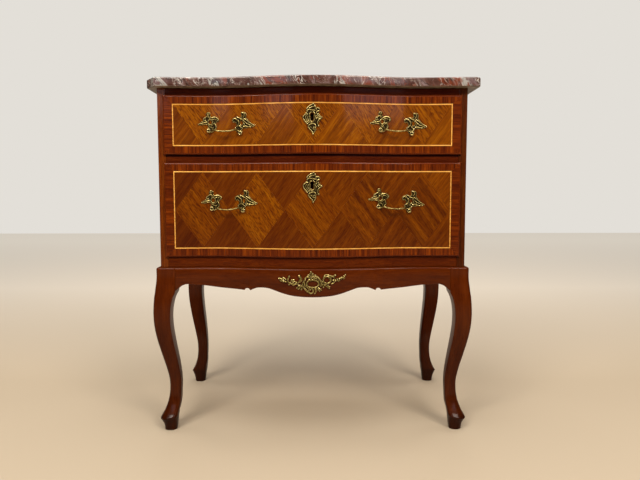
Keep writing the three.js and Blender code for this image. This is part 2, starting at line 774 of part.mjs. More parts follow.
// The crossbanding and the stringing are frames, and the parquetry field fills them.
function addVeneers(drawer, name, openingHeight, keyhole) {
  const frame = (outer, inner) =>
    cut(
      veneerSheet(openingHeight, outer),
      veneerSheet(openingHeight, inner, cutOverrun, cutOverrun),
    );
  const crossbandOuter = inset(lipRound);
  const crossbandInner = further(crossbandOuter, crossbandPostWidth, crossbandRailWidth);
  const stringingOuter = further(crossbandInner, glueGap);
  const stringingInner = further(stringingOuter, stringingWidth);
  const fieldOuter = further(stringingInner, glueGap);
  const crossbanding = frame(crossbandOuter, crossbandInner);
  addPiece(drawer, name("crossbanding"), crossbanding, finishes.crossband);
  const stringing = frame(stringingOuter, stringingInner);
  addPiece(drawer, name("stringing"), stringing, finishes.boxwood);
  const field = cut(veneerSheet(openingHeight, fieldOuter), keyhole);
  addPiece(drawer, name("parquetry"), field, finishes.parquetry);
}

function addDrawerBox(drawer, name, openingHeight) {
  const outer = openingHalfWidth - drawerSideClearance;
  const inner = outer - drawerSideThickness;
  const sideStart = frontCoreThickness - Math.min(bow(outer), bow(inner)) + glueGap;
  const sideTop = openingHeight - drawerSideTopDrop;
  const panelFloor = runnerClearance + drawerBottomHeight;
  const panelTop = panelFloor + drawerBottomThickness;
  const grooveOuter = inner + bottomGrooveDepth;
  for (const [sideName, side] of [["left", -1], ["right", 1]]) {
    const ends = [side * inner, side * outer].sort((a, b) => a - b);
    const board = block(...ends, sideStart, drawerDepth, runnerClearance, sideTop);
    const grooveEnds = [side * (inner - cutOverrun), side * grooveOuter].sort((a, b) => a - b);
    const groove = block(
      ...grooveEnds,
      sideStart - cutOverrun,
      drawerDepth + cutOverrun,
      panelFloor - glueGap,
      panelTop + glueGap,
    );
    addPiece(drawer, name(`side_${sideName}`), cut(board, groove), finishes.inside);
  }
  const panelHalf = grooveOuter - glueGap;
  const panelFront = frontCoreThickness + glueGap;
  const bottom = slab(
    stations(-panelHalf, panelHalf),
    [panelFloor, panelTop],
    (x, z) => [x, panelFront - bow(x), z],
    (x, z) => [x, drawerDepth, z],
  );
  addPiece(drawer, name("bottom"), bottom, finishes.inside);
  const backHalf = inner - glueGap;
  const backFront = drawerDepth - drawerSideThickness;
  const backTop = sideTop - drawerBackDrop;
  const back = block(-backHalf, backHalf, backFront, drawerDepth, panelTop + glueGap, backTop);
  addPiece(drawer, name("back"), back, finishes.inside);
}

function addLock(drawer, name, openingHeight, keyholeHeight) {
  const top = openingHeight - drawerTopClearance;
  const front = lockMiddleY() - lockCaseThickness / 2;
  const body = block(
    centreOffset - lockCaseWidth / 2,
    centreOffset + lockCaseWidth / 2,
    front,
    front + lockCaseThickness,
    top - lockCaseHeight,
    top,
  );
  const boltFloor = top - boltLength;
  const channel = boltSpace(boltClearance, boltFloor - boltClearance, top + cutOverrun);
  const keyChamber = keyholeCutter(keyChamberDepth + cutOverrun);
  keyChamber.translate(centreOffset, front + keyChamberDepth, keyholeHeight);
  addPiece(drawer, name("lock_case"), cut(body, channel, keyChamber), finishes.steel);
  addPiece(drawer, name("lock_bolt"), boltSpace(0, boltFloor, top), finishes.brass);
}

// A handle: two unequal plates, each with its ball, and the bail between them. All three are turned
// by the handle's lean.
function addHandle(drawer, name, x, height, lean) {
  const half = handlePitch / 2;
  const seat = lipThickness + mountGap;
  const axle = new THREE.Vector3(0, 1, 0);
  const plate = (shares, holes, ballX, ballZ) => {
    const ball = new THREE.SphereGeometry(ballRadius, 8, 6).translate(0, -ballStandOff, 0);
    const shape = join(casting(shares, [holes], handlePitch), ball).rotateY(lean);
    const spot = new THREE.Vector3(ballX, 0, ballZ).applyAxisAngle(axle, lean);
    return bendToFront(shape, x + spot.x, seat).translate(0, 0, height + spot.z);
  };
  const left = plate(leftPlateShares, leftPlateHoleShares, -half, 0);
  const right = plate(rightPlateShares, rightPlateHoleShares, half, -rightPlateDrop);
  addPiece(drawer, `${name}_handle_left_plate`, left, finishes.brass);
  addPiece(drawer, `${name}_handle_right_plate`, right, finishes.brass);
  const bail = bendToFront(bailGeometry(half).rotateY(lean), x, seat).translate(0, 0, height);
  addPiece(drawer, `${name}_handle_bail`, bail, finishes.brass);
}

function bailGeometry(half) {
  const start = new THREE.Vector2(bailLeftInset - half, bailLeftRise);
  const end = new THREE.Vector2(half - bailRightInset, bailRightRise - rightPlateDrop);
  const footReach = castThickness + glueGap;
  const points = bailPathShares.map(([along, out, sag]) => {
    const across = start.clone().lerp(end, along);
    const reach = footReach + out * (bailReach - footReach);
    return new THREE.Vector3(across.x, -reach, across.y - sag * bailSag);
  });
  const section = new THREE.Shape();
  section.absarc(0, 0, bailRadius, 0, 2 * Math.PI, false);
  return new THREE.ExtrudeGeometry(section, {
    steps: 12,
    curveSegments: 3,
    bevelEnabled: false,
    extrudePath: new THREE.CatmullRomCurve3(points),
  });
}

const chest = new THREE.Group();
chest.position.set(0, frontPlaneY, 0);
chest.add(makeStand());
chest.add(makeCarcass());

const marble = addPiece(chest, "marble_top", marbleGeometry(), finishes.marble);
marble.position.set(0, 0, carcassTop + glueGap);

const lowerDrawer = makeDrawer("lower", lowerOpeningHeight);
lowerDrawer.position.set(0, 0, lowerOpeningFloor);
chest.add(lowerDrawer);

const upperDrawer = makeDrawer("upper", upperOpeningHeight);
upperDrawer.position.set(0, 0, upperOpeningFloor);
chest.add(upperDrawer);

const group = new THREE.Group();
group.add(chest);
export default group;
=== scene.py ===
import math
import random

import bmesh
import bpy
import numpy as np
from mathutils import Matrix, Vector


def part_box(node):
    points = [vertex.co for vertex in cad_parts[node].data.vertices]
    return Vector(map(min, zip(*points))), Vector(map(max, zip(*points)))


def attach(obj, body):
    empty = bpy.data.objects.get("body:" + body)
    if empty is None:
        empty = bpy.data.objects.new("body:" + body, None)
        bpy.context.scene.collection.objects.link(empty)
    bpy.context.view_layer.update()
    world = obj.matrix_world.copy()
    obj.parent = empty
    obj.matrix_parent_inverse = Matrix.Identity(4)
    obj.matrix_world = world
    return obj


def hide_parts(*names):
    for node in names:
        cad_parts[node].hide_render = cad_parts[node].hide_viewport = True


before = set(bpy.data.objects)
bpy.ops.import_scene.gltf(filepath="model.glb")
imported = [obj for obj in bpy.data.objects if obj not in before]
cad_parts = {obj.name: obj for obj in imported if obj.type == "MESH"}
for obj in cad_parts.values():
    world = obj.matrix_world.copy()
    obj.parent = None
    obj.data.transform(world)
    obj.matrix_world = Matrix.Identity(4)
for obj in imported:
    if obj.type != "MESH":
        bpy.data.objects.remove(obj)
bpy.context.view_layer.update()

# The looks of a two-drawer commode chest: carved and veneered wood, marble and cast brass.
# Lengths are metres, +Z is up and the front faces -Y.

scene = bpy.context.scene
random.seed(7)
sides = (("left", -1), ("right", 1))

# The bowed front: a convex middle between two shallow hollows
bulge_depth = 0.026
bulge_half_width = 0.218
hollow_depth = 0.004
hollow_centre = 0.228
hollow_half_width = 0.112
column_step = 0.008

# Edges and rounds
lip_overlap = 0.004
lip_thickness = 0.0075
lip_gap = 0.0005
lip_round = 0.003
lip_corner_round = 0.0045
front_core_thickness = 0.02
recess_inset = 0.0027
recess_wall = 0.00005
recess_depth = 0.0012
arris = 0.0007
board_bevel = 0.0008
stand_top_round = 0.004

# How finely curves are made: steps along them, and sides round them
round_steps = 5
arc_steps = 16
corner_steps = 6
leg_steps = 5
apron_steps = 6
stroke_steps = 5
bail_steps = 6
stroke_sides = 10
bail_sides = 16
ball_rings = 8
ball_sides = 12
oval_sides = 28

# Marble
marble_edge_round = 0.003
marble_corner_cut = 0.017
marble_left_cant_width = 0.024
marble_left_cant_depth = 0.036
marble_front_overhang = 0.023
marble_edge_step = 0.02

# Veneers
veneer_thickness = 0.0009
crossband_post_width = 0.0174
crossband_rail_width = 0.0152
stringing_width = 0.0022
glue_gap = 0.0003
tile_gap = 0.00006
lozenge_count = 5
crossband_leaf = 0.07
stringing_leaf = 1.0
post_strip_shade = 0.08
crossband_shade_spread = 0.1
stringing_shade_spread = 0.05

# Drawer parts
drawer_side_clearance = 0.0015
runner_clearance = 0.0005
drawer_top_clearance = 0.0015
pocket_clearance = 0.0004
cut_overrun = 0.003
mortise_margin = 0.0015
bolt_throw = 0.008

# The keyhole
keyhole_top_radius = 0.0036
keyhole_foot_radius = 0.0031
keyhole_waist = 0.005
keyhole_top_rise = 0.0046
keyhole_foot_fall = 0.0048
keyhole_drop = 0.046
keyhole_ease = 1.12

# Stand
leg_block_width = 0.0425
apron_thickness = 0.022
apron_mid_height = 0.0625
apron_mount_drop = 0.0009
apron_columns = 36

# Cast mounts
centre_offset = -0.0008
mount_gap = 0.0005
escutcheon_height = 0.07
apron_mount_width = 0.152
handle_pitch = 0.068
right_plate_drop = 0.004
ball_radius = 0.0046
ball_stand_off = 0.005
bail_radius = 0.0015
bail_reach = 0.017
bail_sag = 0.004
bail_left_inset = 0.008
bail_left_rise = 0.0015
bail_right_inset = 0.0075
bail_right_rise = 0.0065
bail_foot = 0.0033
plate_thickness = 0.0012
voxel = 0.00045
smooth_strength = 0.5
smooth_passes = 3

# A handle plate's round end: its ball as shares of the ball's radius, and the ring round it as
# shares of the handle's pitch. The ring stands proud by a share of the ball's stand-off.
ball_core_share = 0.62
ball_depth_share = 0.3
ring_width_share = 0.047
ring_height_share = 0.045
ring_rib_share = 0.022
ring_shift_share = 0.01
ring_lift_share = 0.55

# Where each handle's middle lies: out from the drawer's middle as a share of the opening's half
# width, and up from its floor as a share of its height. Each handle leans clockwise a little.
handle_place_shares = {
    "upper": {"left": (0.5954, 0.3892), "right": (0.5659, 0.3875)},
    "lower": {"left": (0.582, 0.5155), "right": (0.5551, 0.5245)},
}
handle_lean_degrees = {"upper": {"left": 1, "right": 2.2}, "lower": {"left": 0, "right": 4.5}}

# Wear of the brass: its level on a flat face, the ridge and the distance from the wood that would
# each add one, the bails' even wear, and how often points are averaged to find the ridges
wear_level = 0.36
wear_ridge = 0.0007
wear_distance = 0.03
bail_wear = 0.58
wide_passes = 6
soft_passes = 2

# Patches of the brass: waves in a metre, their strength, and what is taken off for their middle
patch_waves = 330
patch_strength = 0.6
patch_middle = 0.31

# Grain of the woods: waves in a metre along it, for the broad figure, the fibres, the pores and
# the bands, and how far the dark and the light lie from the middle tone
figure_along = 4
fibre_along = 16
pore_along = 85
band_along = 2.5
tone_spread = 0.16

# Fine relief of the materials
wood_relief = 0.00012
brass_relief = 0.0001
steel_relief = 0.00005

# Heights over the floor, and how much light a painted shade on the legs leaves there: the wood is drawn
# darker towards the feet
painted_leg_shade = ((0.03, 0.3), (0.042, 0.58), (0.2, 0.6), (0.4, 1.0))

# Tolerances, and how far apart pieces lie in their wood
weld = 1e-7
same_column = 1e-6
rounding = 1e-9
nearly_one = 0.9
mitre_limit = 0.5
wood_spread = 5

# From which angle on an edge shows as sharp
sharp_degrees = 35
carved_sharp_degrees = 30
bail_sharp_degrees = 60
cast_sharp_degrees = 75

# Floor, and the strength of the light from all round
floor_half = 6.0
floor_depth = 0.02
room_light = 0.13

# Camera, as the photograph was taken
camera_place = Vector((0.0095, -1.4785, 0.5481))
camera_pitch = 0.0848
camera_yaw = 0.0051
camera_roll = -0.0008
camera_lens = 33.075
sensor_width = 36


# Shapes of the front

def swell(t):
    """A half wave: 1 in the middle, 0 at t = 1 and beyond."""
    return (1 + math.cos(math.pi * t)) / 2 if abs(t) < 1 else 0


def bow(x):
    """How far the front stands forward of its flat ends."""
    out = abs(x)
    return bulge_depth * swell(out / bulge_half_width) - hollow_depth * swell(
        (out - hollow_centre) / hollow_half_width
    )


carcass_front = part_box("front_post_left")[0].y
opening_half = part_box("front_post_right")[0].x
lip_half = opening_half + lip_overlap
openings = {
    label: (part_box(f"{label}_front")[0].z + lip_overlap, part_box(f"{label}_front")[1].z - lip_overlap)
    for label in ("lower", "upper")
}

# The stand's outer faces, the front one at its flat ends
stand_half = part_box("apron_front")[1].x + glue_gap + leg_block_width
stand_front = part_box("apron_side_left")[0].y - glue_gap - leg_block_width
stand_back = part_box("apron_side_left")[1].y + glue_gap + leg_block_width


def face_y(x, ahead=0):
    """The y of a surface that stands ahead of the bowed front."""
    return carcass_front - bow(x) - ahead


def steps(start, end, largest=column_step):
    """Even places from start to end, both included."""
    count = max(1, math.ceil((end - start) / largest))
    return [start + (end - start) * i / count for i in range(count + 1)]


def round_over(size):
    """Points round the edge of two faces, as distances from the first and from the second. They
    start on the second face and end on the first."""
    turns = [k / round_steps * math.pi / 2 for k in range(round_steps + 1)]
    return [(size * (1 - math.sin(a)), size * (1 - math.cos(a))) for a in turns]


def even_turns(count):
    """Angles once round."""
    return [2 * math.pi * k / count for k in range(count)]


def smooth_line(points, between):
    """A smooth curve through points of any dimension, with some steps between each two."""
    points = [np.array(p, float) for p in points]
    ends = [2 * points[0] - points[1]] + points + [2 * points[-1] - points[-2]]
    line = []
    for a, b, c, d in zip(ends, ends[1:], ends[2:], ends[3:]):
        for k in range(between):
            t = k / between
            line.append(
                0.5 * (2 * b + (c - a) * t + (2 * a - 5 * b + 4 * c - d) * t**2
                       + (3 * b - a - 3 * c + d) * t**3)
            )
    return line + [points[-1]]


# Meshes

class Form:
    """The faces of one piece. Each has its own place in the wood: turn, shift and tint."""

    def __init__(self):
        self.points = []
        self.faces = []
        self.woods = []

    def add(self, points, faces, along=(0, 0, 1), tint=(1, 1, 1)):
        start = len(self.points)
        self.points += [tuple(p) for p in points]
        self.faces += [[start + i for i in face] for face in faces]
        along = Vector(along).normalized()
        side = Vector((0, 1, 0)) if abs(along.y) < nearly_one else Vector((1, 0, 0))
        across = along.cross(side).normalized()
        turn = Matrix((along, across, along.cross(across)))
        shift = Vector(random.uniform(-wood_spread, wood_spread) for _ in range(3))
        self.woods += [(turn, shift, tint)] * len(faces)
        return self

    def piece(self, name, material, sharp=sharp_degrees):
        mesh = bpy.data.meshes.new(name)
        mesh.from_pydata(self.points, [], self.faces)
        corners = [(corner, own) for face, own in zip(self.faces, self.woods) for corner in face]
        values = {
            "grain": [v for corner, (turn, shift, _) in corners
                      for v in turn @ Vector(self.points[corner]) + shift],
            "tint": [v for _, own in corners for v in own[2]],
        }
        for key, row in values.items():
            mesh.attributes.new(key, "FLOAT_VECTOR", "CORNER").data.foreach_set("vector", row)
        work = bmesh.new()
        work.from_mesh(mesh)
        bmesh.ops.remove_doubles(work, verts=work.verts, dist=weld)
        bmesh.ops.dissolve_degenerate(work, edges=work.edges, dist=weld)
        bmesh.ops.recalc_face_normals(work, faces=work.faces)
        work.to_mesh(mesh)
        work.free()
        return link(name, mesh, material, sharp)


def dress(mesh, material, sharp=sharp_degrees):
    """Gives a mesh its one material and shades it smooth, with its sharp edges kept."""
    mesh.materials.clear()
    mesh.materials.append(material)
    mesh.shade_smooth()
    mesh.set_sharp_from_angle(angle=math.radians(sharp))


def link(name, mesh, material, sharp):
    """A new object of a mesh."""
    dress(mesh, material, sharp)
    piece = bpy.data.objects.new(name, mesh)
    scene.collection.objects.link(piece)
    return piece


def place(piece, body, slot, *nodes):
    """Fixes a piece to its body and hides the solids it stands for."""
    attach(piece, body)
    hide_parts(*nodes)


def slab(columns, rows, front, back):
    """A closed slab between a front and a back grid of points, columns rightward, rows upward."""
    across = len(columns)
    up = len(rows)
    points = [side(c, r) for side in (front, back) for c in columns for r in rows]
    faces = []
    near = lambda i, j: i * up + j
    far = lambda i, j: across * up + i * up + j
    for i in range(across - 1):
        for j in range(up - 1):
            faces.append([near(i, j), near(i + 1, j), near(i + 1, j + 1), near(i, j + 1)])
            faces.append([far(i, j), far(i, j + 1), far(i + 1, j + 1), far(i + 1, j)])
        top = up - 1
        faces.append([near(i, 0), far(i, 0), far(i + 1, 0), near(i + 1, 0)])
        faces.append([near(i, top), near(i + 1, top), far(i + 1, top), far(i, top)])
    for j in range(up - 1):
        end = across - 1
        faces.append([near(0, j), near(0, j + 1), far(0, j + 1), far(0, j)])
        faces.append([near(end, j), far(end, j), far(end, j + 1), near(end, j + 1)])
    return points, faces


def loft(rings):
    """A closed body through rings of as many points each."""
    around = len(rings[0])
    points = [p for ring in rings for p in ring]
    faces = [list(range(around))[::-1], [(len(rings) - 1) * around + i for i in range(around)]]
    for k in range(len(rings) - 1):
        for i in range(around):
            j = (i + 1) % around
            faces.append([k * around + i, k * around + j, (k + 1) * around + j, (k + 1) * around + i])
    return points, faces


def box_form(low, high):
    """The corners and faces of an upright box."""
    ring = lambda z: [(low.x, low.y, z), (high.x, low.y, z), (high.x, high.y, z), (low.x, high.y, z)]
    return loft([ring(low.z), ring(high.z)])


def combine(piece, *tools):
    """Joins a piece with others or cuts it by them, which uses them up."""
    for operation, other in tools:
        boolean = piece.modifiers.new("combine", "BOOLEAN")
        boolean.operation = operation
        boolean.solver = "EXACT"
        boolean.object = other
    graph = bpy.context.evaluated_depsgraph_get()
    mesh = bpy.data.meshes.new_from_object(piece.evaluated_get(graph))
    piece.modifiers.clear()
    dress(mesh, piece.data.materials[0])
    piece.data = mesh
    for _, other in tools:
        bpy.data.objects.remove(other)


# Materials

def rgb(colour):
    """A linear colour from a grey value or a hex string in screen colours."""
    if not isinstance(colour, str):
        return (colour, colour, colour, 1)
    parts = [int(colour[i:i + 2], 16) / 255 for i in (1, 3, 5)]
    return tuple(c / 12.92 if c <= 0.04045 else ((c + 0.055) / 1.055) ** 2.4 for c in parts) + (1,)


class Nodes:
    """Makes the nodes of one tree. An input is a value, a hex colour or another node's socket, and
    is named by its words, or by its number after an underscore."""

    def __init__(self, tree):
        self.tree = tree

    def add(self, kind, settings=None, **inputs):
        made = self.tree.nodes.new(f"ShaderNode{kind}")
        for key, value in (settings or {}).items():
            setattr(made, key, value)
        self.fill(made, **inputs)
        return made.outputs

    def fill(self, made, **inputs):
        for key, value in inputs.items():
            socket = made.inputs[int(key[1:]) if key.startswith("_") else key.replace("_", " ")]
            if isinstance(value, bpy.types.NodeSocket):
                self.tree.links.new(value, socket)
            else:
                socket.default_value = rgb(value) if isinstance(value, str) else value

    def spot(self):
        return self.add("TexCoord")["Object"]

    def attribute(self, name, kind="Vector"):
        return self.add("Attribute", {"attribute_name": name})[kind]

    def split(self, vector):
        return list(self.add("SeparateXYZ", Vector=vector))

    def ramp(self, factor, *stops):
        """A colour ramp. Each stop is a place and a grey value or a colour."""
        made = self.add("ValToRGB", Fac=factor)["Color"]
        elements = made.node.color_ramp.elements
        while len(elements) < len(stops):
            elements.new(0.5)
        for element, (at, colour) in zip(elements, stops):
            element.position = at
            element.color = rgb(colour)
        return made

    def mix(self, factor, one, other, kind="MIX"):
        settings = {"data_type": "RGBA", "blend_type": kind}
        return self.add("Mix", settings, _0=factor, _6=one, _7=other)[2]

    def calc(self, operation, one, other):
        return self.add("Math", {"operation": operation}, _0=one, _1=other)[0]

    def noise(self, where, scale, detail=2.0, roughness=0.5, distortion=0.0, kind="Fac"):
        return self.add("TexNoise", Vector=where, Scale=scale, Detail=detail,
                        Roughness=roughness, Distortion=distortion)[kind]

    def grain(self, where, along, across, detail, roughness=0.55, distortion=0.0):
        """Noise drawn out along the grain. along and across are waves in a metre."""
        scaled = self.add("Mapping", Vector=where, Scale=(along, across, across))[0]
        return self.noise(scaled, 1.0, detail, roughness, distortion)

    def bump(self, height, strength, distance):
        return self.add("Bump", Height=height, Strength=strength, Distance=distance)[0]


def new_material(name):
    """A material, the maker of its nodes and its shader."""
    material = bpy.data.materials.new(name)
    material.use_nodes = True
    tree = material.node_tree
    return material, Nodes(tree), tree.nodes["Principled BSDF"]


axis_turns = {"x": (0, 0, 0), "y": (0, 0, -math.pi / 2), "z": (0, math.pi / 2, 0)}
tint_powers = (1.0, 1.45, 1.8)


def wood(name, dark, middle, light, axis=None, figure=90, fibre=420, coat=0.22, rough=0.36,
         pores=0.5, band=0.15, contrast=1.0, pore=1000, relief_share=0.35, shade_by_height=()):
    """Varnished wood. Its grain runs along an axis, or as each face of a Form says. figure, fibre
    and pore are waves in a metre across the grain. The painted shade by height is a list of heights and
    the light it leaves at each."""
    material, make, shader = new_material(name)
    if axis:
        where = make.add("Mapping", Vector=make.spot(), Rotation=axis_turns[axis])[0]
    else:
        where = make.attribute("grain")
        tint, pore_tint, band_tint = make.split(make.attribute("tint"))
        pores = make.calc("MULTIPLY", pore_tint, pores)
        band = make.calc("MULTIPLY", band_tint, band)
    # Waves in a metre along and across the grain, and then the noise's own detail
    broad = make.grain(where, figure_along, figure, 3, 0.55, 0.2)
    fine = make.grain(where, fibre_along, fibre, 2, 0.6)
    pits = make.grain(where, pore_along, pore, 1, 0.5)
    stripe = make.grain(where, band_along, figure * 0.9, 1, 0.4, 0.2)
    tone = make.calc("ADD", make.calc("MULTIPLY", broad, 0.5), make.calc("MULTIPLY", fine, 0.5))
    half = tone_spread / contrast
    colour = make.ramp(tone, (0.5 - half, dark), (0.5, middle), (0.5 + half, light))
    colour = make.mix(band, colour, make.ramp(stripe, (0.4, "#a88c78"), (0.6, 1.0)), "MULTIPLY")
    hollow = make.ramp(pits, (0.34, 1.0), (0.52, 0.0))
    colour = make.mix(make.calc("MULTIPLY", hollow, pores), colour, "#96705a", "MULTIPLY")
    if not axis:
        red, green, blue = (make.calc("POWER", tint, power) for power in tint_powers)
        shift = make.add("CombineColor", Red=red, Green=green, Blue=blue)[0]
        colour = make.mix(1.0, colour, shift, "MULTIPLY")
    # Painted shade: the colour is darkened by height, darker towards the floor.
    if shade_by_height:
        painted_shade = make.ramp(make.split(make.spot())[2], *shade_by_height)
        colour = make.mix(1.0, colour, painted_shade, "MULTIPLY")
    gloss = make.calc("ADD", make.calc("MULTIPLY", fine, 0.16), rough - 0.08)
    height = make.calc("SUBTRACT", make.calc("MULTIPLY", fine, 0.5), hollow)
    make.fill(shader, Base_Color=colour, Roughness=gloss, Coat_Weight=coat, Coat_Roughness=0.1,
              Specular_IOR_Level=0.05, Normal=make.bump(height, relief_share, wood_relief))
    return material


def brass(name):
    """Cast brass: worn bright on its ridges and dark in its hollows."""
    material, make, shader = new_material(name)
    where = make.spot()
    patches = make.calc("MULTIPLY", make.noise(where, patch_waves), patch_strength)
    level = make.calc("ADD", make.attribute("worn", "Fac"), patches)
    level = make.calc("SUBTRACT", level, patch_middle)
    colour = make.ramp(level, (0.18, "#0e0a05"), (0.4, "#352b18"), (0.55, "#7d6d3e"),
                       (0.72, "#bfae6f"), (0.95, "#f2e6b8"))
    rough = make.ramp(level, (0.2, 0.62), (0.8, 0.24))
    grit = make.bump(make.noise(where, 1500.0), 0.3, brass_relief)
    make.fill(shader, Base_Color=colour, Roughness=rough, Metallic=1.0, Normal=grit)
    return material


def metal(name, dark, light, rough):
    """Plain worn metal for the lock."""
    material, make, shader = new_material(name)
    where = make.spot()
    patches = make.noise(where, 180.0, 4.0)
    colour = make.ramp(patches, (0.35, dark), (0.65, light))
    gloss = make.ramp(patches, (0.3, rough - 0.08), (0.7, rough + 0.1))
    scratches = make.bump(make.grain(where, 120, 3000, 2), 0.2, steel_relief)
    make.fill(shader, Base_Color=colour, Roughness=gloss, Metallic=1.0, Normal=scratches)
    return material


def marble(name):
    """Mauve-brown marble with leaning grey patches, rust streaks and white veins. Its underside is
    sawn and dull."""
    material, make, shader = new_material(name)
    lean = make.add("Mapping", Vector=make.spot(), Rotation=(0, -1.0, 0.25))[0]
    drawn = make.add("Mapping", Vector=lean, Scale=(0.45, 1.0, 1.0))[0]
    moved = make.mix(0.05, drawn, make.noise(drawn, 22.0, 3.0, kind="Color"), "ADD")

    def cloud(scale, detail=5.0, distortion=0.4, roughness=0.6):
        return make.noise(moved, scale, detail, roughness, distortion)

    def line(scale, width, strength, distortion):
        middle = make.calc("SUBTRACT", cloud(scale, 4.0, distortion), 0.5)
        ridge = make.calc("ABSOLUTE", middle, 0.0)
        return make.ramp(ridge, (0.0, strength), (width, 0.0))

    ground = cloud(34.0, 8.0, 0.5, 0.68)
    colour = make.ramp(ground, (0.32, "#1a0b07"), (0.44, "#40241c"), (0.54, "#54372f"),
                       (0.64, "#766263"))
    for share, tone in (
        (make.ramp(cloud(30.0), (0.55, 0.0), (0.6, 0.8)), "#6d2d12"),
        (make.ramp(cloud(21.0), (0.585, 0.0), (0.602, 0.95)), "#92908c"),
        (line(26.0, 0.02, 0.8, 0.8), "#1e0c08"),
        (line(15.0, 0.008, 0.9, 1.0), "#b9b3ad"),
        (line(31.0, 0.007, 0.75, 1.6), "#b9afa6"),
    ):
        colour = make.mix(share, colour, tone)
    facing = make.split(make.add("NewGeometry")["Normal"])[2]
    under = make.ramp(make.calc("MULTIPLY", facing, -1.0), (0.6, 0.0), (0.9, 1.0))
    colour = make.mix(under, colour, make.ramp(cloud(90.0), (0.4, "#574738"), (0.6, "#806d58")))
    gloss = make.mix(under, make.ramp(ground, (0.3, 0.16), (0.7, 0.26)), rgb(0.8))
    make.fill(shader, Base_Color=colour, Roughness=gloss, Coat_Weight=0.15, Coat_Roughness=0.08)
    return material


# The legs' and aprons' mahogany has a painted shade by height, darker towards the feet.
MAHOGANY = wood("mahogany", "#421500", "#4e1c00", "#5a2401", figure=60, fibre=300, coat=0.13,
                rough=0.3, pores=0.15, relief_share=0.1, shade_by_height=painted_leg_shade)
RAIL_WOOD = wood("rail_mahogany", "#3a0e00", "#481600", "#562001", figure=80, coat=0.05)
POST_WOOD = wood("post_mahogany", "#4e1d01", "#672d02", "#7c3e06", axis="z", figure=110)
# A darker copy of the post mahogany, for the right post: painted shade.
SHADY_POST_WOOD = wood("shady_post_mahogany", "#361200", "#461b00", "#562902", axis="z",
                       figure=110, coat=0.12)
SIDE_WOOD = wood("side_mahogany", "#421502", "#5c2403", "#703205", axis="z", figure=60)
LIP_WOOD = wood("lip_mahogany", "#4a1804", "#5e2405", "#743108", figure=80, coat=0.2)
TILE_WOOD = wood("parquetry_veneer", "#5e2900", "#733b00", "#884e02", figure=110, fibre=520,
                 pores=0.6, band=0.9, pore=520)
BAND_WOOD = wood("crossband_veneer", "#461800", "#652700", "#803a01", figure=170, fibre=480,
                 pores=0.4, band=0.65, contrast=1.05)
BOXWOOD = wood("boxwood", "#b97f30", "#dca14a", "#eebc68", figure=200, pores=0.15)
LINING_X, LINING_Y = (
    wood(f"lining_wood_{axis}", "#8d6238", "#b18452", "#c99f6c", axis, coat=0.0, rough=0.6)
    for axis in "xy"
)
BRASS = brass("cast_brass")
LOCK_STEEL = metal("lock_steel", "#0f0d0b", "#211e1a", 0.6)
BOLT_BRASS = metal("bolt_brass", "#8c7234", "#c0a45a", 0.36)
MARBLE = marble("red_brown_marble")


# Stand

# A leg from the top down: height, outer face and inner face, as shares of the stand's height and
# of the leg block's width, counted in from its outer face.
leg_outline_shares = [
    (0.985, 0.0, 1.0), (0.94, 0.0, 1.0), (0.905, -0.026, 1.0), (0.88, -0.059, 1.0),
    (0.85, -0.092, 0.99), (0.82, -0.129, 0.873), (0.77, -0.162, 0.769), (0.71, -0.174, 0.722),
    (0.64, -0.137, 0.741), (0.56, -0.026, 0.821), (0.47, 0.147, 0.934), (0.38, 0.332, 1.038),
    (0.3, 0.455, 1.089), (0.225, 0.448, 1.071), (0.165, 0.343, 1.042), (0.115, 0.14, 0.972),
    (0.09, 0.0, 0.94), (0.084, -0.005, 0.934), (0.078, 0.03, 0.925), (0.05, 0.125, 0.892),
    (0.02, 0.175, 0.864), (0.0, 0.19, 0.84),
]

# How round the leg's corners are at a height, as shares of the leg's width there: the outer
# corner, the two side corners and the inner corner, from the top down.
leg_round_shares = [
    (1.0, 0.15, 0.03, 0.03), (0.9, 0.15, 0.04, 0.04), (0.8, 0.2, 0.07, 0.1),
    (0.6, 0.22, 0.08, 0.14), (0.45, 0.26, 0.12, 0.2), (0.3, 0.3, 0.18, 0.25),
    (0.2, 0.34, 0.2, 0.25), (0.12, 0.4, 0.28, 0.25), (0.085, 0.42, 0.32, 0.25),
    (0.04, 0.42, 0.36, 0.35), (0.0, 0.45, 0.4, 0.4),
]

# The foot's crest: its height as a share of the stand's, and how much it dips to the outer corner
toe_share = 0.086
toe_dip = 0.014


def corner_rounds(up):
    """A row of the table of rounds, read between its lines at a height."""
    heights, *columns = zip(*reversed(leg_round_shares))
    return [float(np.interp(up, heights, column)) for column in columns]


def leg_ring(outer, inner, height, rounds, dip=0.0):
    """A section of a leg, with its block's outer corner at the origin and the leg toward +X +Y. It
    hangs lower by dip at its outer corner than at its inner one."""
    width = inner - outer
    corners = [
        (outer, outer, rounds[0], math.pi), (inner, outer, rounds[1], 1.5 * math.pi),
        (inner, inner, rounds[2], 0), (outer, inner, rounds[1], 0.5 * math.pi),
    ]
    middle = (outer + inner) / 2
    ring = []
    for x, y, share, turn in corners:
        size = share * width
        centre_x = x + math.copysign(size, middle - x)
        centre_y = y + math.copysign(size, middle - y)
        for k in range(corner_steps + 1):
            angle = turn + k / corner_steps * math.pi / 2
            px = centre_x + size * math.cos(angle)
            py = centre_y + size * math.sin(angle)
            away = (px + py - outer - inner) / (2 * width)
            ring.append((px, py, height + dip * away))
    return ring


def leg_rings(height):
    """The sections of a leg from its foot up to the rounded top of its block."""
    rings = []
    for up, outer, inner in smooth_line(leg_outline_shares, leg_steps):
        outer, inner = outer * leg_block_width, inner * leg_block_width
        dip = toe_dip * swell((up - toe_share) / toe_share)
        rings.append(leg_ring(outer, inner, up * height, corner_rounds(up), dip))
    for drop, inset in round_over(stand_top_round):
        rings.append(leg_ring(inset, leg_block_width, height - drop, corner_rounds(1)))
    return sorted(rings, key=lambda ring: ring[0][2])


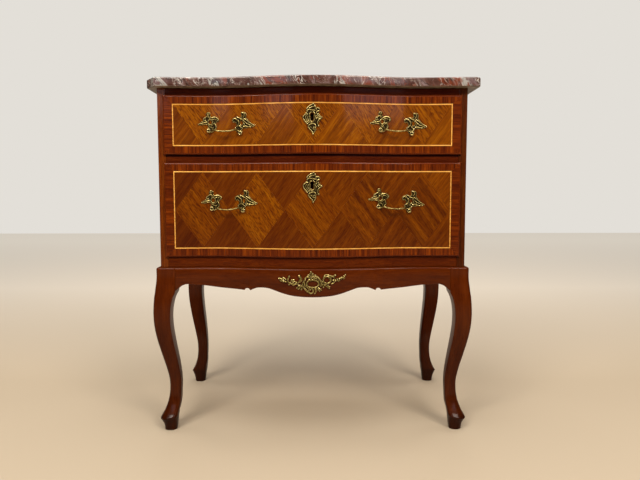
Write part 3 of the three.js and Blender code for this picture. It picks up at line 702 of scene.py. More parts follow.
def make_legs():
    """Four legs, mirrored at the corners of the stand."""
    for side_name, side in sides:
        for end_name, turn, y_end in (("front", 1, stand_front), ("rear", -1, stand_back)):
            name = f"leg_{end_name}_{side_name}"
            rings = [
                [(side * stand_half - side * x, y_end + turn * y, z) for x, y, z in ring]
                for ring in leg_rings(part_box(name)[1].z)
            ]
            form = Form().add(*loft(rings))
            leg = form.piece(f"{name}_carved", MAHOGANY, carved_sharp_degrees)
            place(leg, "chest", "mahogany", name)


# Half of the front apron's lower edge: distance from the middle as a share of the half length,
# and depth below the top as a share of the depth at the middle. The runs meet at sharp points.
front_apron_shares = [
    [(0, 1), (0.07, 0.99), (0.143, 0.955), (0.21, 0.88), (0.271, 0.78), (0.327, 0.697),
     (0.394, 0.69), (0.43, 0.745), (0.454, 0.8)],
    [(0.454, 0.8), (0.461, 0.745), (0.472, 0.72), (0.486, 0.735), (0.495, 0.79)],
    [(0.495, 0.79), (0.55, 0.765), (0.66, 0.722), (0.79, 0.641), (0.85, 0.62), (0.89, 0.597),
     (0.93, 0.61), (0.965, 0.69), (1, 0.84)],
]
plain_apron_shares = [
    [(0, 0.64), (0.4, 0.62), (0.75, 0.57), (0.87, 0.58), (0.95, 0.66), (1, 0.816)],
]


def apron_form(half, runs, face):
    """An apron along X with its top at z = 0. face gives the y of its front at an x."""
    edge = [tuple(p) for run in runs for p in smooth_line(run, apron_steps)]
    edge = sorted({(round(out, 5), drop) for out, drop in edge if out <= 1})
    outs, drops = zip(*edge)
    places_out = sorted(set(outs) | {k / apron_columns for k in range(apron_columns + 1)})
    columns = [-out for out in reversed(places_out) if out > 0] + places_out
    rows = [(False, arris * (1 - math.cos(a)), arris * (1 - math.sin(a)))
            for a in (0, math.pi / 4, math.pi / 2)]
    rows += [(True, drop, inset) for drop, inset in round_over(stand_top_round)]

    def point(out, row, inset):
        at_top, rise, _ = row
        lower_edge = float(np.interp(abs(out), outs, drops)) * apron_mid_height
        x = out * half
        return (x, face(x) + inset, -rise if at_top else rise - lower_edge)

    return slab(columns, rows, lambda out, row: point(out, row, row[2]),
                lambda out, row: point(out, row, apron_thickness))


def make_aprons():
    """The front apron follows the bow. The other three are straight."""
    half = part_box("apron_front")[1].x
    plans = [
        ("apron_front", half, (0, stand_front), 0, (1, 0, 0)),
        ("apron_rear", half, (0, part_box("apron_rear")[1].y), math.pi, (1, 0, 0)),
    ]
    for side_name, side in sides:
        low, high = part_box(f"apron_side_{side_name}")
        spot = (low.x if side < 0 else high.x, (low.y + high.y) / 2)
        turn = side * math.pi / 2
        plans.append((f"apron_side_{side_name}", (high.y - low.y) / 2, spot, turn, (0, 1, 0)))
    for name, half, spot, turn, along in plans:
        if name == "apron_front":
            points, faces = apron_form(half, front_apron_shares, lambda x: -bow(x))
        else:
            points, faces = apron_form(half, plain_apron_shares, lambda x: 0)
        move = Matrix.Translation((*spot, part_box(name)[1].z)) @ Matrix.Rotation(turn, 4, "Z")
        form = Form().add([move @ Vector(p) for p in points], faces, along)
        place(form.piece(f"{name}_shaped", MAHOGANY), "chest", "mahogany", name)


# Carcass

def bowed_form(low_x, high_x, bottom, top, ahead, behind=None, straight_back=None, size=arris,
               corner=0.0, recess=False, seam=0.0):
    """A slab whose face follows the bow, with its face's edges rounded over by size. seam adds a
    line of points below its top."""
    insets = [inset for _, inset in round_over(size)]
    if corner > size:
        insets += [corner / 2 + size / 2, corner]
    if recess:
        insets = [i for i in insets if i < recess_inset]
        insets += [recess_inset, recess_inset + recess_wall, corner]
    inner = insets[-1]
    columns = [low_x + i for i in insets[:-1]] + steps(low_x + inner, high_x - inner)
    columns += [high_x - i for i in reversed(insets[:-1])]
    rows = [bottom + i for i in insets] + [top - i for i in reversed(insets)]
    if seam:
        rows = sorted(rows + [top - seam])

    def outline(x, z):
        """The place of a grid point once the corners are rounded, and its depth in the edge."""
        from_side = min(x - low_x, high_x - x)
        from_end = min(z - bottom, top - z)
        if corner and from_side < corner and from_end < corner:
            s = 1 - from_side / corner
            t = 1 - from_end / corner
            new_s = s * math.sqrt(1 - t * t / 2)
            new_t = t * math.sqrt(1 - s * s / 2)
            x += math.copysign(corner * (new_s - s), x - (low_x + high_x) / 2)
            z += math.copysign(corner * (new_t - t), z - (bottom + top) / 2)
            return x, z, corner * (1 - math.hypot(new_s, new_t))
        return x, z, min(from_side, from_end)

    def front(x, z):
        new_x, new_z, inset = outline(x, z)
        inside = min(inset, size)
        drop = size - math.sqrt(max(0, size**2 - (size - inside) ** 2))
        recess_edge = recess_inset + recess_wall / 2
        if recess and min(x - low_x, high_x - x, z - bottom, top - z) > recess_edge:
            drop = recess_depth
        return (new_x, face_y(new_x, ahead) + drop, new_z)

    def back(x, z):
        x, z, _ = outline(x, z)
        return (x, face_y(x) + behind if straight_back is None else straight_back, z)

    return slab(columns, rows, front, back)


# How deep the painted shadow lies under the ledge over each rail, how much light it leaves there, and
# how light the whole rail is drawn
painted_rail_shadows = {
    "top_rail": (0.002, 0.7, 1.0),
    "divider_rail": (0.0088, 0.3, 1.0),
    "bottom_rail": (0.0065, 0.7, 1.3),
}
bolt_rails = {"top_rail": "upper", "divider_rail": "lower"}


def make_rails():
    """The rails, with a mortise over each lock's bolt, and a painted shadow along the top of each under
    the ledge over it.
    """
    for name, (seam, shade, tone) in painted_rail_shadows.items():
        low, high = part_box(name)
        shape = bowed_form(low.x, high.x, low.z, high.z, 0, straight_back=high.y, seam=seam)
        form = Form().add(*shape, (1, 0, 0), (tone, 1, 1))
        # Painted shadow: the faces in the band just under the ledge are darkened.
        for k, face in enumerate(form.faces):
            if min(form.points[i][2] for i in face) > high.z - seam - arris / 2:
                form.woods[k] = (*form.woods[k][:2], (shade, 1, 1))
        rail = form.piece(f"{name}_shaped", RAIL_WOOD)
        if name in bolt_rails:
            bolt_low, bolt_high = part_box(f"{bolt_rails[name]}_lock_bolt")
            margin = Vector((mortise_margin, mortise_margin, 0))
            bottom = Vector((0, 0, low.z - cut_overrun - bolt_low.z))
            top = Vector((0, 0, low.z + bolt_throw + mortise_margin - bolt_high.z))
            form = Form().add(*box_form(bolt_low - margin + bottom, bolt_high + margin + top))
            combine(rail, ("DIFFERENCE", form.piece("mortise", RAIL_WOOD)))
        place(rail, "chest", "mahogany", name)


def make_marble():
    """The slab: bowed in front, rounded at its right front corner and canted at its left one."""
    low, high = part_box("marble_top")
    half = high.x
    start = half - marble_corner_cut
    front = lambda x: face_y(x, marble_front_overhang)
    edge_y = front(half)
    ring = [(x, front(x)) for x in steps(marble_left_cant_width - half, start)]
    for k in range(1, arc_steps + 1):
        t = k / arc_steps
        first, middle, last = (1 - t) ** 2, 2 * t * (1 - t), t * t
        x = first * start + middle * half + last * half
        y = first * front(start) + middle * edge_y + last * (edge_y + marble_corner_cut)
        ring.append((x, y))
    right_side = steps(edge_y + marble_corner_cut, high.y, marble_edge_step)
    back = steps(-half, half, marble_edge_step)
    left_side = steps(edge_y + marble_left_cant_depth, high.y, marble_edge_step)
    ring += [(half, y) for y in right_side[1:]]
    ring += [(x, high.y) for x in back[::-1][1:]]
    ring += [(-half, y) for y in left_side[::-1][1:]]
    normals = []
    for i in range(len(ring)):
        ahead = Vector(ring[(i + 1) % len(ring)]) - Vector(ring[i])
        behind = Vector(ring[i]) - Vector(ring[i - 1])
        one = Vector((ahead.y, -ahead.x)).normalized()
        two = Vector((behind.y, -behind.x)).normalized()
        both = one + two
        normals.append(both / max(mitre_limit, both.dot(one)))
    rise = round_over(marble_edge_round)
    profile = [(inset, low.z + up) for inset, up in rise]
    profile += [(inset, high.z - up) for inset, up in reversed(rise)]
    rings = [
        [(x - n.x * inset, y - n.y * inset, z) for (x, y), n in zip(ring, normals)]
        for inset, z in profile
    ]
    form = Form().add(*loft(rings), (1, 0, 0))
    piece = form.piece("marble_top_slab", MARBLE, carved_sharp_degrees)
    place(piece, "chest", "marble", "marble_top")


# Drawers

def keyhole_outline():
    """Points round the keyhole, from its own middle: right and up."""
    points = []
    for size, rise, side in (
        (keyhole_top_radius, keyhole_top_rise, -1),
        (keyhole_foot_radius, -keyhole_foot_fall, 1),
    ):
        half = math.asin(keyhole_waist / 2 / size)
        for k in range(arc_steps + 1):
            angle = side * math.pi / 2 + half + k / arc_steps * (2 * math.pi - 2 * half)
            points.append((size * math.cos(angle), rise + size * math.sin(angle)))
    return points


def keyhole_middle(label):
    """The keyhole's own middle, which the escutcheon hangs round."""
    return openings[label][1] - keyhole_drop


def cut_keyhole(piece, label, *others):
    """Cuts a drawer's keyhole through a piece, as far as the lock case, after other steps."""
    lock_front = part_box(f"{label}_lock_case")[0].y
    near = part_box(f"{label}_front")[0].y - cut_overrun - lip_thickness
    rings = [
        [(centre_offset + x, y, keyhole_middle(label) + z) for x, z in keyhole_outline()]
        for y in (near, lock_front)
    ]
    cutter = Form().add(*loft(rings)).piece("keyhole", piece.data.materials[0])
    combine(piece, *others, ("DIFFERENCE", cutter))


def make_front(label):
    """The front board: a lip over the opening, a core inside it and a pocket for the lock."""
    floor, top = openings[label]
    lip = Form().add(*bowed_form(
        -lip_half, lip_half, floor - lip_overlap, top + lip_overlap, lip_thickness,
        behind=-lip_gap, size=lip_round, corner=lip_corner_round, recess=True,
    ), (1, 0, 0)).piece(f"{label}_front_board", LIP_WOOD)
    core_half = opening_half - drawer_side_clearance
    core = Form().add(*bowed_form(
        -core_half, core_half, floor + runner_clearance, top - drawer_top_clearance,
        lip_thickness / 2, behind=front_core_thickness,
    ), (1, 0, 0)).piece("core", LIP_WOOD)
    case_low, case_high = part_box(f"{label}_lock_case")
    spread = Vector((pocket_clearance, pocket_clearance, pocket_clearance))
    deep = Vector((0, front_core_thickness, cut_overrun))
    pocket = Form().add(*box_form(case_low - spread, case_high + spread + deep))
    pocket = pocket.piece("pocket", LIP_WOOD)
    cut_keyhole(lip, label, ("UNION", core), ("DIFFERENCE", pocket))
    place(lip, f"{label}_drawer", "carcass_wood", f"{label}_front")


def veneer(form, columns, rows, point, along, tint):
    """Adds a leaf of veneer. point gives a place of its grid at a depth below its face."""
    form.add(*slab(columns, rows, lambda a, b: point(a, b, 0),
                   lambda a, b: point(a, b, veneer_thickness)), along, tint)


def strip(form, start, end, outer, inner, upright, tint, mitres):
    """A strip of veneer between two lines, along X or upright. mitres draw its inner ends in."""

    def point(along, across, depth):
        shift = (mitres[0] * (1 - along) - mitres[1] * along) * across
        a = start + (end - start) * along + shift
        b = outer + (inner - outer) * across
        x, z = (b, a) if upright else (a, b)
        return (x, face_y(x, lip_thickness - depth), z)

    start, end = start + tile_gap, end - tile_gap
    count = max(2, math.ceil(abs(end - start) / column_step))
    columns = [k / count for k in range(count + 1)]
    rows = [1.0, 0.0] if inner < outer else [0.0, 1.0]
    veneer(form, columns, rows, point, (1, 0, 0) if upright else (0, 0, 1), tint)


def make_frame(label, name, material, inset, width, leaf, grain_across, spread):
    """A mitred frame of veneer strips, set in from the lip's edge. inset and width are pairs: at
    the ends, and along the top and bottom."""
    floor, top = openings[label]
    post, rail = width
    left, right = -lip_half + inset[0], lip_half - inset[0]
    bottom, high = floor - lip_overlap + inset[1], top + lip_overlap - inset[1]
    form = Form()
    for upright, mitre, lines in (
        (False, post, ((left, right, high, high - rail), (left, right, bottom, bottom + rail))),
        (True, rail, ((bottom, high, left, left + post), (bottom, high, right, right - post))),
    ):
        for start, end, outer, inner in lines:
            cuts = steps(start, end, leaf)
            for k in range(len(cuts) - 1):
                mitres = (mitre if k == 0 else 0, mitre if k == len(cuts) - 2 else 0)
                tone = 1 + random.uniform(-spread, spread) - (post_strip_shade if upright else 0)
                strip(form, cuts[k], cuts[k + 1], outer, inner, upright, (tone, 1, 1), mitres)
    if not grain_across:
        form.woods = [(Matrix(((1, 0, 0), (0, 0, 1), (0, 1, 0))), s, t) for _, s, t in form.woods]
    piece = form.piece(f"{label}_{name}_strips", material)
    slot = "boxwood" if name == "stringing" else "crossband_veneer"
    place(piece, f"{label}_drawer", slot, f"{label}_{name}")


def tile(form, corners, along, tint):
    """One flat tile of the parquetry, bent to the bow. corners go round its outline."""
    middle = sum((Vector(c) for c in corners), Vector((0, 0))) / len(corners)
    shrunk = []
    for corner in corners:
        away = Vector(corner) - middle
        shrunk.append(middle + away * (1 - tile_gap / away.length))
    xs = [c.x for c in shrunk]
    cuts = sorted(set(steps(min(xs), max(xs)) + xs))
    cuts = [c for i, c in enumerate(cuts) if i == 0 or c - cuts[i - 1] > same_column]

    def reach(x):
        hits = []
        for a, b in zip(shrunk, shrunk[1:] + shrunk[:1]):
            if min(a.x, b.x) - rounding <= x <= max(a.x, b.x) + rounding:
                if abs(a.x - b.x) < rounding:
                    hits += [a.y, b.y]
                else:
                    hits.append(a.y + (b.y - a.y) * (x - a.x) / (b.x - a.x))
        return min(hits), max(hits)

    def point(x, t, depth):
        low, high = reach(x)
        return (x, face_y(x, lip_thickness - depth), low + (high - low) * t)

    veneer(form, cuts, [0.0, 1.0], point, along, tint)


crossband_inset = (lip_round, lip_round)
crossband_width = (crossband_post_width, crossband_rail_width)
stringing_inset = tuple(lip_round + width + glue_gap for width in crossband_width)

# How each tile looks, from left to right: its brightness, the strength of its pores and of its
# broad bands. The lower drawer has lozenges, with triangles under and over them, and the upper
# one triangles that hang down, with others that stand up between them.
lower_lozenges = [(0.84, 1.2, 0.1), (0.99, 1.2, 0.1), (0.84, 1, 0.15), (0.78, 0.8, 0.7),
                  (0.78, 0.8, 0.7)]
lower_over = [(0.46, 0.3, 0.2), (0.58, 0.3, 0.2), (0.61, 0.3, 0.25), (0.71, 0.6, 0.4),
              (0.71, 0.6, 0.4), (0.83, 0.6, 0.4)]
lower_under = [(0.4, 0.3, 0.2), (0.53, 0.3, 0.2), (0.58, 0.3, 0.25), (0.65, 0.6, 0.4),
               (0.63, 0.6, 0.4), (0.62, 0.6, 0.4)]
upper_down = [(1.11, 1.4, 0.2), (1.13, 1.4, 0.2), (1.11, 1.4, 0.3), (1.11, 1.2, 0.3),
              (1.11, 1.2, 0.4)]
upper_up = [(0.8, 0.3, 0.5), (0.99, 0.3, 0.5), (1.01, 0.3, 0.5), (1.03, 0.4, 0.6),
            (1.01, 0.4, 0.6), (1.08, 0.4, 0.5)]


def make_parquetry(label):
    """The field of tiles inside the stringing, with the keyhole cut through it."""
    floor, top = openings[label]
    ends, edges = (width + stringing_width + glue_gap for width in stringing_inset)
    half = lip_half - ends
    bottom, high = floor - lip_overlap + edges, top + lip_overlap - edges
    width = 2 * half / lozenge_count
    if label == "upper":
        middle, tall, wide_tints, rows = high, high - bottom, upper_down, [(bottom, upper_up)]
    else:
        middle, tall, wide_tints = (bottom + high) / 2, (high - bottom) / 2, lower_lozenges
        rows = [(bottom, lower_under), (high, lower_over)]
    form = Form()
    for k in range(lozenge_count):
        x = -half + (k + 0.5) * width
        corners = [(x - width / 2, middle), (x, bottom), (x + width / 2, middle)]
        if label == "lower":
            corners.append((x, high))
        tile(form, corners, (width / 2, 0, -tall), wide_tints[k])
    for k in range(lozenge_count + 1):
        x = -half + k * width
        left, right = max(-half, x - width / 2), min(half, x + width / 2)
        for edge, tints in rows:
            tile(form, [(x, middle), (left, edge), (right, edge)], (width / 2, 0, tall), tints[k])
    piece = form.piece(f"{label}_parquetry_tiles", TILE_WOOD)
    cut_keyhole(piece, label)
    place(piece, f"{label}_drawer", "parquetry_veneer", f"{label}_parquetry")


# Cast brass

def ball_form(centre, size):
    """A small round knob."""
    x, y, z = centre
    rings = []
    for i in range(ball_rings + 1):
        polar = math.pi * i / ball_rings
        reach = size * math.sin(polar)
        height = z + size * math.cos(polar)
        rings.append([
            (x + reach * math.cos(a), y + reach * math.sin(a), height)
            for a in even_turns(ball_sides)
        ])
    return loft(rings)


def rod(path, around):
    """A rod along a path of places and radii, with closed ends."""
    rings = []
    spots = [Vector(p[:3]) for p in path]
    turns = even_turns(around)
    side = None
    for i, (spot, entry) in enumerate(zip(spots, path)):
        ahead = (spots[min(i + 1, len(path) - 1)] - spots[max(i - 1, 0)]).normalized()
        side = side or ahead.orthogonal().normalized()
        side = (side - ahead * side.dot(ahead)).normalized()
        other = ahead.cross(side)
        rings.append([spot + entry[3] * (math.cos(a) * side + math.sin(a) * other) for a in turns])
    return loft(rings)


def plate_form(outline, holes):
    """A thin flat plate of an outline, upright, with its back at y = 0."""
    work = bmesh.new()
    edges = []
    for loop in [outline, *holes]:
        verts = [work.verts.new((x, 0, z)) for x, z in loop]
        edges += [work.edges.new((a, b)) for a, b in zip(verts, verts[1:] + verts[:1])]
    bmesh.ops.triangle_fill(work, use_beauty=True, use_dissolve=False, edges=edges)
    made = bmesh.ops.extrude_face_region(work, geom=work.faces[:])
    front = [v for v in made["geom"] if isinstance(v, bmesh.types.BMVert)]
    bmesh.ops.translate(work, verts=front, vec=(0, -plate_thickness, 0))
    bmesh.ops.recalc_face_normals(work, faces=work.faces[:])
    work.verts.index_update()
    points = [v.co.copy() for v in work.verts]
    faces = [[v.index for v in f.verts] for f in work.faces]
    work.free()
    return points, faces


def cast(form):
    """The mesh of one casting made of many strokes, joined and softened."""
    rough = form.piece("rough", BRASS)
    remesh = rough.modifiers.new("join", "REMESH")
    remesh.mode = "VOXEL"
    remesh.voxel_size = voxel
    soften = rough.modifiers.new("soften", "SMOOTH")
    soften.factor = smooth_strength
    soften.iterations = smooth_passes
    graph = bpy.context.evaluated_depsgraph_get()
    mesh = bpy.data.meshes.new_from_object(rough.evaluated_get(graph))
    bpy.data.objects.remove(rough)
    return mesh


def rows_of(items, key, width, kind=float):
    """A value of all points or edges of a mesh, as rows of an array."""
    values = np.empty(len(items) * width, kind)
    items.foreach_get(key, values)
    return values.reshape(-1, width)


def worn_values(mesh):
    """How worn each point is: much on ridges and far from the wood, little in hollows."""
    co = rows_of(mesh.vertices, "co", 3)
    normal = rows_of(mesh.vertices, "normal", 3, np.float32)
    ends = rows_of(mesh.edges, "vertices", 2, np.int32)
    degree = np.maximum(np.bincount(ends.ravel(), minlength=len(co)), 1)

    def mean(values, times):
        for _ in range(times):
            total = np.zeros_like(values)
            np.add.at(total, ends[:, 0], values[ends[:, 1]])
            np.add.at(total, ends[:, 1], values[ends[:, 0]])
            values = total / degree.reshape(-1, *[1] * (values.ndim - 1))
        return values

    proud = mean(((co - mean(co, wide_passes)) * normal).sum(1), soft_passes)
    return np.clip(wear_level + proud / wear_ridge - co[:, 1] / wear_distance, 0, 1)


def turned(x, z, lean):
    """A place turned clockwise, as seen from the front."""
    return x * math.cos(lean) + z * math.sin(lean), z * math.cos(lean) - x * math.sin(lean)


def add_wear(mesh, values):
    """Gives the points of a mesh the wear that the brass reads."""
    mesh.attributes.new("worn", "FLOAT", "POINT").data.foreach_set("value", values)


def hang_casting(mesh, name, body, x, z, ahead, lean=0.0):
    """Bends a casting to the bowed face at a place, leaning clockwise, with its back flat. name is
    the solid's that it stands for."""
    mesh = mesh.copy()
    worn = worn_values(mesh)
    co = rows_of(mesh.vertices, "co", 3)
    co[:, 1] = np.minimum(co[:, 1], 0)
    co[:, 0], co[:, 2] = turned(co[:, 0], co[:, 2], lean)
    co[:, 0] += x
    co[:, 2] += z
    co[:, 1] += [face_y(value, ahead) for value in co[:, 0]]
    mesh.vertices.foreach_set("co", co.ravel())
    add_wear(mesh, worn.astype(np.float32))
    mesh.update()
    place(link(f"{name}_cast", mesh, BRASS, cast_sharp_degrees), body, "brass", name)


# The castings are drawn flat, in thousandths of a size of their own. An outline goes once round. A
# stroke has its radius at its start and its end, and then its points. A ring has its middle, its
# half width, its half height and its rib's radius. A knob has its middle and its radius.
thousand = 1000

escutcheon_shares = [
    (36, 419), (-27, 376), (-105, 320), (-168, 273), (-175, 203), (-170, 140), (-238, 79),
    (-288, 30), (-288, -17), (-260, -80), (-223, -133), (-168, -196), (-125, -262), (-137, -313),
    (-106, -367), (-43, -421), (20, -477), (-4, -520), (30, -545), (64, -500), (100, -415),
    (130, -320), (160, -285), (200, -295), (220, -255), (190, -200), (215, -155), (240, -115),
    (270, -75), (335, -25), (300, 10), (240, 60), (208, 110), (210, 150), (250, 200), (240, 260),
    (200, 290), (145, 285), (110, 310), (80, 368),
]
escutcheon_stroke_shares = [
    (17, 20, (-20, 145), (-62, 115), (-82, 65), (-66, 10), (-66, -80), (-12, -165)),
    (20, 14, (30, 145), (74, 118), (90, 62), (72, 5), (70, -75), (40, -135), (-12, -165)),
    (16, 20, (80, 70), (100, 10), (145, -71)),
    (20, 24, (-120, 100), (-200, 72), (-270, 8), (-255, -70), (-200, -150), (-137, -220)),
    (14, 16, (-170, 40), (-200, -30), (-153, -130), (-100, -200)),
    (14, 16, (-120, 30), (-137, -40), (-100, -118), (-59, -180)),
    (23, 20, (-160, 165), (-122, 212), (-75, 220), (-12, 204), (50, 196), (106, 188)),
    (20, 16, (-165, 240), (-130, 285), (-70, 335), (0, 375), (35, 410)),
    (20, 16, (-100, 250), (-30, 290), (35, 310), (75, 300)),
    (14, 18, (35, 410), (80, 350), (108, 290), (98, 240)),
    (22, 26, (135, 200), (137, 250), (185, 270), (220, 250)),
    (20, 26, (125, 90), (150, 150), (200, 180), (230, 190)),
    (20, 26, (180, 100), (192, 45), (240, 0), (310, -16)),
    (24, 18, (300, -20), (230, -70), (185, -118), (165, -190), (190, -260)),
    (15, 15, (130, 50), (165, -10), (200, -40)),
    (22, 18, (-120, -310), (-90, -250), (-27, -215), (50, -207), (100, -236), (125, -290)),
    (22, 20, (-122, -310), (-75, -360), (-12, -430), (35, -510)),
    (18, 14, (120, -370), (85, -430), (43, -500)),
    (14, 14, (-60, -300), (-10, -330), (20, -380)),
]
escutcheon_ring_shares = [(70, -345, 36, 36, 18)]
escutcheon_knob_shares = [(200, -267, 30), (33, -517, 30), (40, 400, 26)]

left_plate_shares = [
    (-370, 222), (-350, 175), (-250, 168), (-140, 190), (-60, 175), (-30, 110), (-62, 30),
    (-40, -55), (30, -70), (90, -45), (150, 10), (230, 55), (250, 120), (215, 190), (230, 270),
    (305, 300), (325, 360), (290, 420), (210, 455), (120, 445), (70, 430), (30, 475), (45, 550),
    (0, 595), (-80, 585), (-110, 530), (-90, 470), (-150, 420), (-190, 365), (-220, 300),
    (-290, 250),
]
left_plate_stroke_shares = [
    (22, 20, (50, -45), (130, -10), (200, 60), (222, 120), (200, 200), (150, 250)),
    (18, 16, (150, 230), (90, 170), (20, 90)),
    (18, 18, (-70, 250), (-10, 160), (60, 110), (130, 80)),
    (32, 14, (-60, 270), (-160, 250), (-260, 222), (-360, 205)),
    (24, 14, (-100, 340), (-170, 310), (-260, 262)),
    (18, 12, (-50, 200), (-140, 205), (-240, 185)),
    (20, 22, (-190, 360), (-130, 410), (-60, 450), (-20, 400)),
    (20, 22, (-50, 490), (-20, 440), (30, 380)),
    (26, 24, (50, 400), (140, 430), (230, 420), (295, 360), (270, 320)),
    (20, 16, (100, 360), (180, 370), (230, 345)),
]
left_plate_ring_shares = [(35, 275, 70, 85, 20), (-35, 540, 32, 30, 22)]
left_plate_hole_share = (35, 275, 50, 62)

right_plate_shares = [
    (-165, 135), (-150, 70), (-85, 20), (-60, -45), (0, -75), (60, -45), (90, 50), (85, 130),
    (130, 160), (220, 145), (300, 185), (400, 180), (505, 226), (400, 300), (325, 350), (270, 415),
    (200, 485), (215, 570), (195, 630), (110, 665), (25, 655), (35, 580), (50, 515), (-20, 490),
    (-85, 515), (-190, 480), (-255, 430), (-260, 370), (-210, 325), (-160, 345), (-120, 300),
    (-115, 235),
]
right_plate_stroke_shares = [
    (24, 24, (-150, 180), (-120, 100), (-35, 66), (45, 90), (90, 160)),
    (18, 18, (-90, 200), (-20, 220), (50, 160)),
    (24, 26, (-50, 360), (-100, 420), (-166, 455), (-225, 430), (-235, 380)),
    (30, 24, (-60, 400), (-40, 320), (-60, 240), (-120, 190)),
    (20, 22, (-90, 500), (-20, 465), (60, 430), (150, 440)),
    (30, 22, (60, 640), (120, 620), (140, 560), (100, 480)),
    (18, 18, (60, 645), (130, 645), (180, 620)),
    (26, 15, (130, 450), (240, 390), (340, 310), (490, 235)),
    (24, 13, (100, 400), (190, 320), (290, 265), (440, 212)),
    (30, 14, (100, 200), (170, 210), (260, 200), (360, 190)),
    (22, 20, (90, 390), (130, 300), (150, 220)),
]
right_plate_ring_shares = [(0, 0, 30, 30, 30)]
right_plate_hole_share = (50, 320, 40, 70)

apron_mount_stroke_shares = [
    (14, 14, (-110, 70), (-73, 100), (-35, 85), (-36, 50)),
    (14, 16, (-5, 98), (50, 105), (100, 75), (128, 22), (122, -35)),
    (12, 12, (0, 60), (45, 68), (90, 40)),
    (14, 15, (-100, 60), (-137, 5), (-131, -44), (-100, -80), (-66, -120)),
    (20, 10, (44, -50), (51, -100), (30, -148)),
    (14, 14, (-138, -36), (-182, -30), (-226, 0), (-262, -8), (-315, 5), (-355, 44), (-335, 100)),
    (14, 12, (-340, 30), (-400, 28), (-430, 40), (-446, 66), (-492, 73)),
    (12, 10, (-380, 60), (-410, 80), (-440, 75)),
    (12, 10, (-315, 5), (-345, -18)),
    (13, 11, (-226, 10), (-255, 30), (-290, 42)),
    (12, 20, (-220, 0), (-182, 44), (-168, 80), (-188, 112)),
    (12, 12, (-160, -10), (-197, -44), (-230, -64)),
    (12, 13, (-140, -40), (-155, -70), (-165, -90)),
    (14, 13, (125, -25), (168, -7), (200, -30), (255, -44)),
    (12, 12, (150, 30), (158, -15), (160, -58)),
    (12, 10, (200, -30), (235, -60), (255, -70)),
    (12, 10, (60, -50), (95, -90), (105, -112)),
    (12, 10, (250, 90), (290, 100), (330, 122)),
    (11, 9, (235, 90), (262, 50), (240, 20)),
    (10, 10, (270, 50), (340, 43), (390, 68), (440, 82), (478, 126)),
    (14, 10, (-30, 100), (-24, 140), (-20, 176)),
    (11, 9, (-66, 122), (-30, 130), (20, 120), (55, 130)),
    (10, 10, (-40, 150), (-12, 138), (14, 152)),
    (16, 12, (-47, 54), (-20, 77), (-40, 100)),
    (15, 13, (-88, -28), (-60, -62), (-22, -88)),
    (13, 12, (-118, 30), (-112, -10), (-100, -40)),
    (15, 10, (30, 88), (70, 70), (100, 30)),
    (18, 12, (-183, 100), (-158, 60), (-183, 20)),
    (20, 12, (-410, 36), (-440, 46), (-470, 40)),
    (14, 9, (-400, 70), (-427, 92)),
    (15, 10, (-270, 20), (-300, 48), (-260, 60)),
    (14, 10, (-260, -10), (-285, -26)),
    (18, 12, (-200, -20), (-170, -45), (-150, -80)),
    (14, 10, (-180, -50), (-205, -82)),
    (14, 10, (140, 30), (172, 0), (166, -45)),
    (16, 10, (170, -20), (200, -12), (235, -26)),
    (13, 10, (245, 118), (300, 100), (325, 50), (305, 12), (270, -6)),
    (12, 9, (160, 90), (190, 125), (240, 125)),
    (12, 10, (350, 75), (370, 40), (400, 50)),
    (12, 9, (420, 100), (450, 70), (470, 90)),
    (14, 10, (80, -60), (115, -75), (130, -100)),
]
apron_mount_ring_shares = [(5, 0, 88, 56, 13), (-22, -100, 32, 38, 13), (211, 56, 55, 50, 13)]
apron_mount_knob_shares = [
    (306, 50, 16), (335, 44, 15), (364, 50, 16), (390, 70, 15), (415, 76, 18), (443, 84, 14),
    (460, 105, 14), (476, 126, 13), (330, 122, 15), (-335, 104, 17), (-188, 115, 20),
    (-20, 172, 14),
]

# The bail's path: along between its feet, out to its reach and down to its sag, as shares, and its
# radius along the path
bail_path_shares = [
    (0, 0, 0), (0, 0.3, 0), (0.09, 0.72, 0.3), (0.25, 0.93, 0.75), (0.5, 1, 1), (0.75, 0.93, 0.75),
    (0.91, 0.72, 0.3), (1, 0.3, 0), (1, 0, 0),
]
bail_girth_shares = [
    (0, 1.5), (0.1, 1.35), (0.3, 1.1), (0.5, 1.0), (0.7, 1.1), (0.9, 1.35), (1, 1.5),
]


def sized(values, size):
    """Real sizes from thousandths."""
    return [value / thousand * size for value in values]


def ellipse(middle_x, middle_z, half_width, half_height):
    """Points once round an oval."""
    return [(middle_x + half_width * math.cos(a), middle_z + half_height * math.sin(a))
            for a in even_turns(oval_sides)]


def add_stroke(form, start, end, points, lift=0.0):
    """A tapering rib of a casting, standing half out of the plate."""
    line = smooth_line(points, stroke_steps)
    path = []
    for k, (x, z) in enumerate(line):
        girth = start + (end - start) * k / (len(line) - 1)
        path.append((x, -(plate_thickness / 2 + girth / 2 + lift), z, girth))
    form.add(*rod(path, stroke_sides))


def add_ring(form, radius, oval, lift=0.0):
    """A rib of even radius round an oval."""
    loop = ellipse(*oval)
    add_stroke(form, radius, radius, loop + loop[:2], lift)


def relief(size, strokes, rings=(), knobs=(), outline=(), holes=()):
    """The strokes, rings and knobs of one casting, with a thin plate behind them if it has one."""
    form = Form()
    if outline:
        form.add(*plate_form([sized(point, size) for point in outline], holes))
    for start, end, *points in strokes:
        add_stroke(form, *sized((start, end), size), [sized(point, size) for point in points])
    for ring in rings:
        *oval, radius = sized(ring, size)
        add_ring(form, radius, oval)
    for knob in knobs:
        x, z, radius = sized(knob, size)
        form.add(*ball_form((x, -(plate_thickness / 2 + radius / 2), z), radius))
    return form


def make_escutcheon(label):
    holes = [[(x * keyhole_ease, z * keyhole_ease) for x, z in keyhole_outline()]]
    form = relief(escutcheon_height, escutcheon_stroke_shares, escutcheon_ring_shares,
                  escutcheon_knob_shares, escutcheon_shares, holes)
    hang_casting(cast(form), f"{label}_escutcheon", f"{label}_drawer", centre_offset,
                 keyhole_middle(label), lip_thickness + mount_gap)


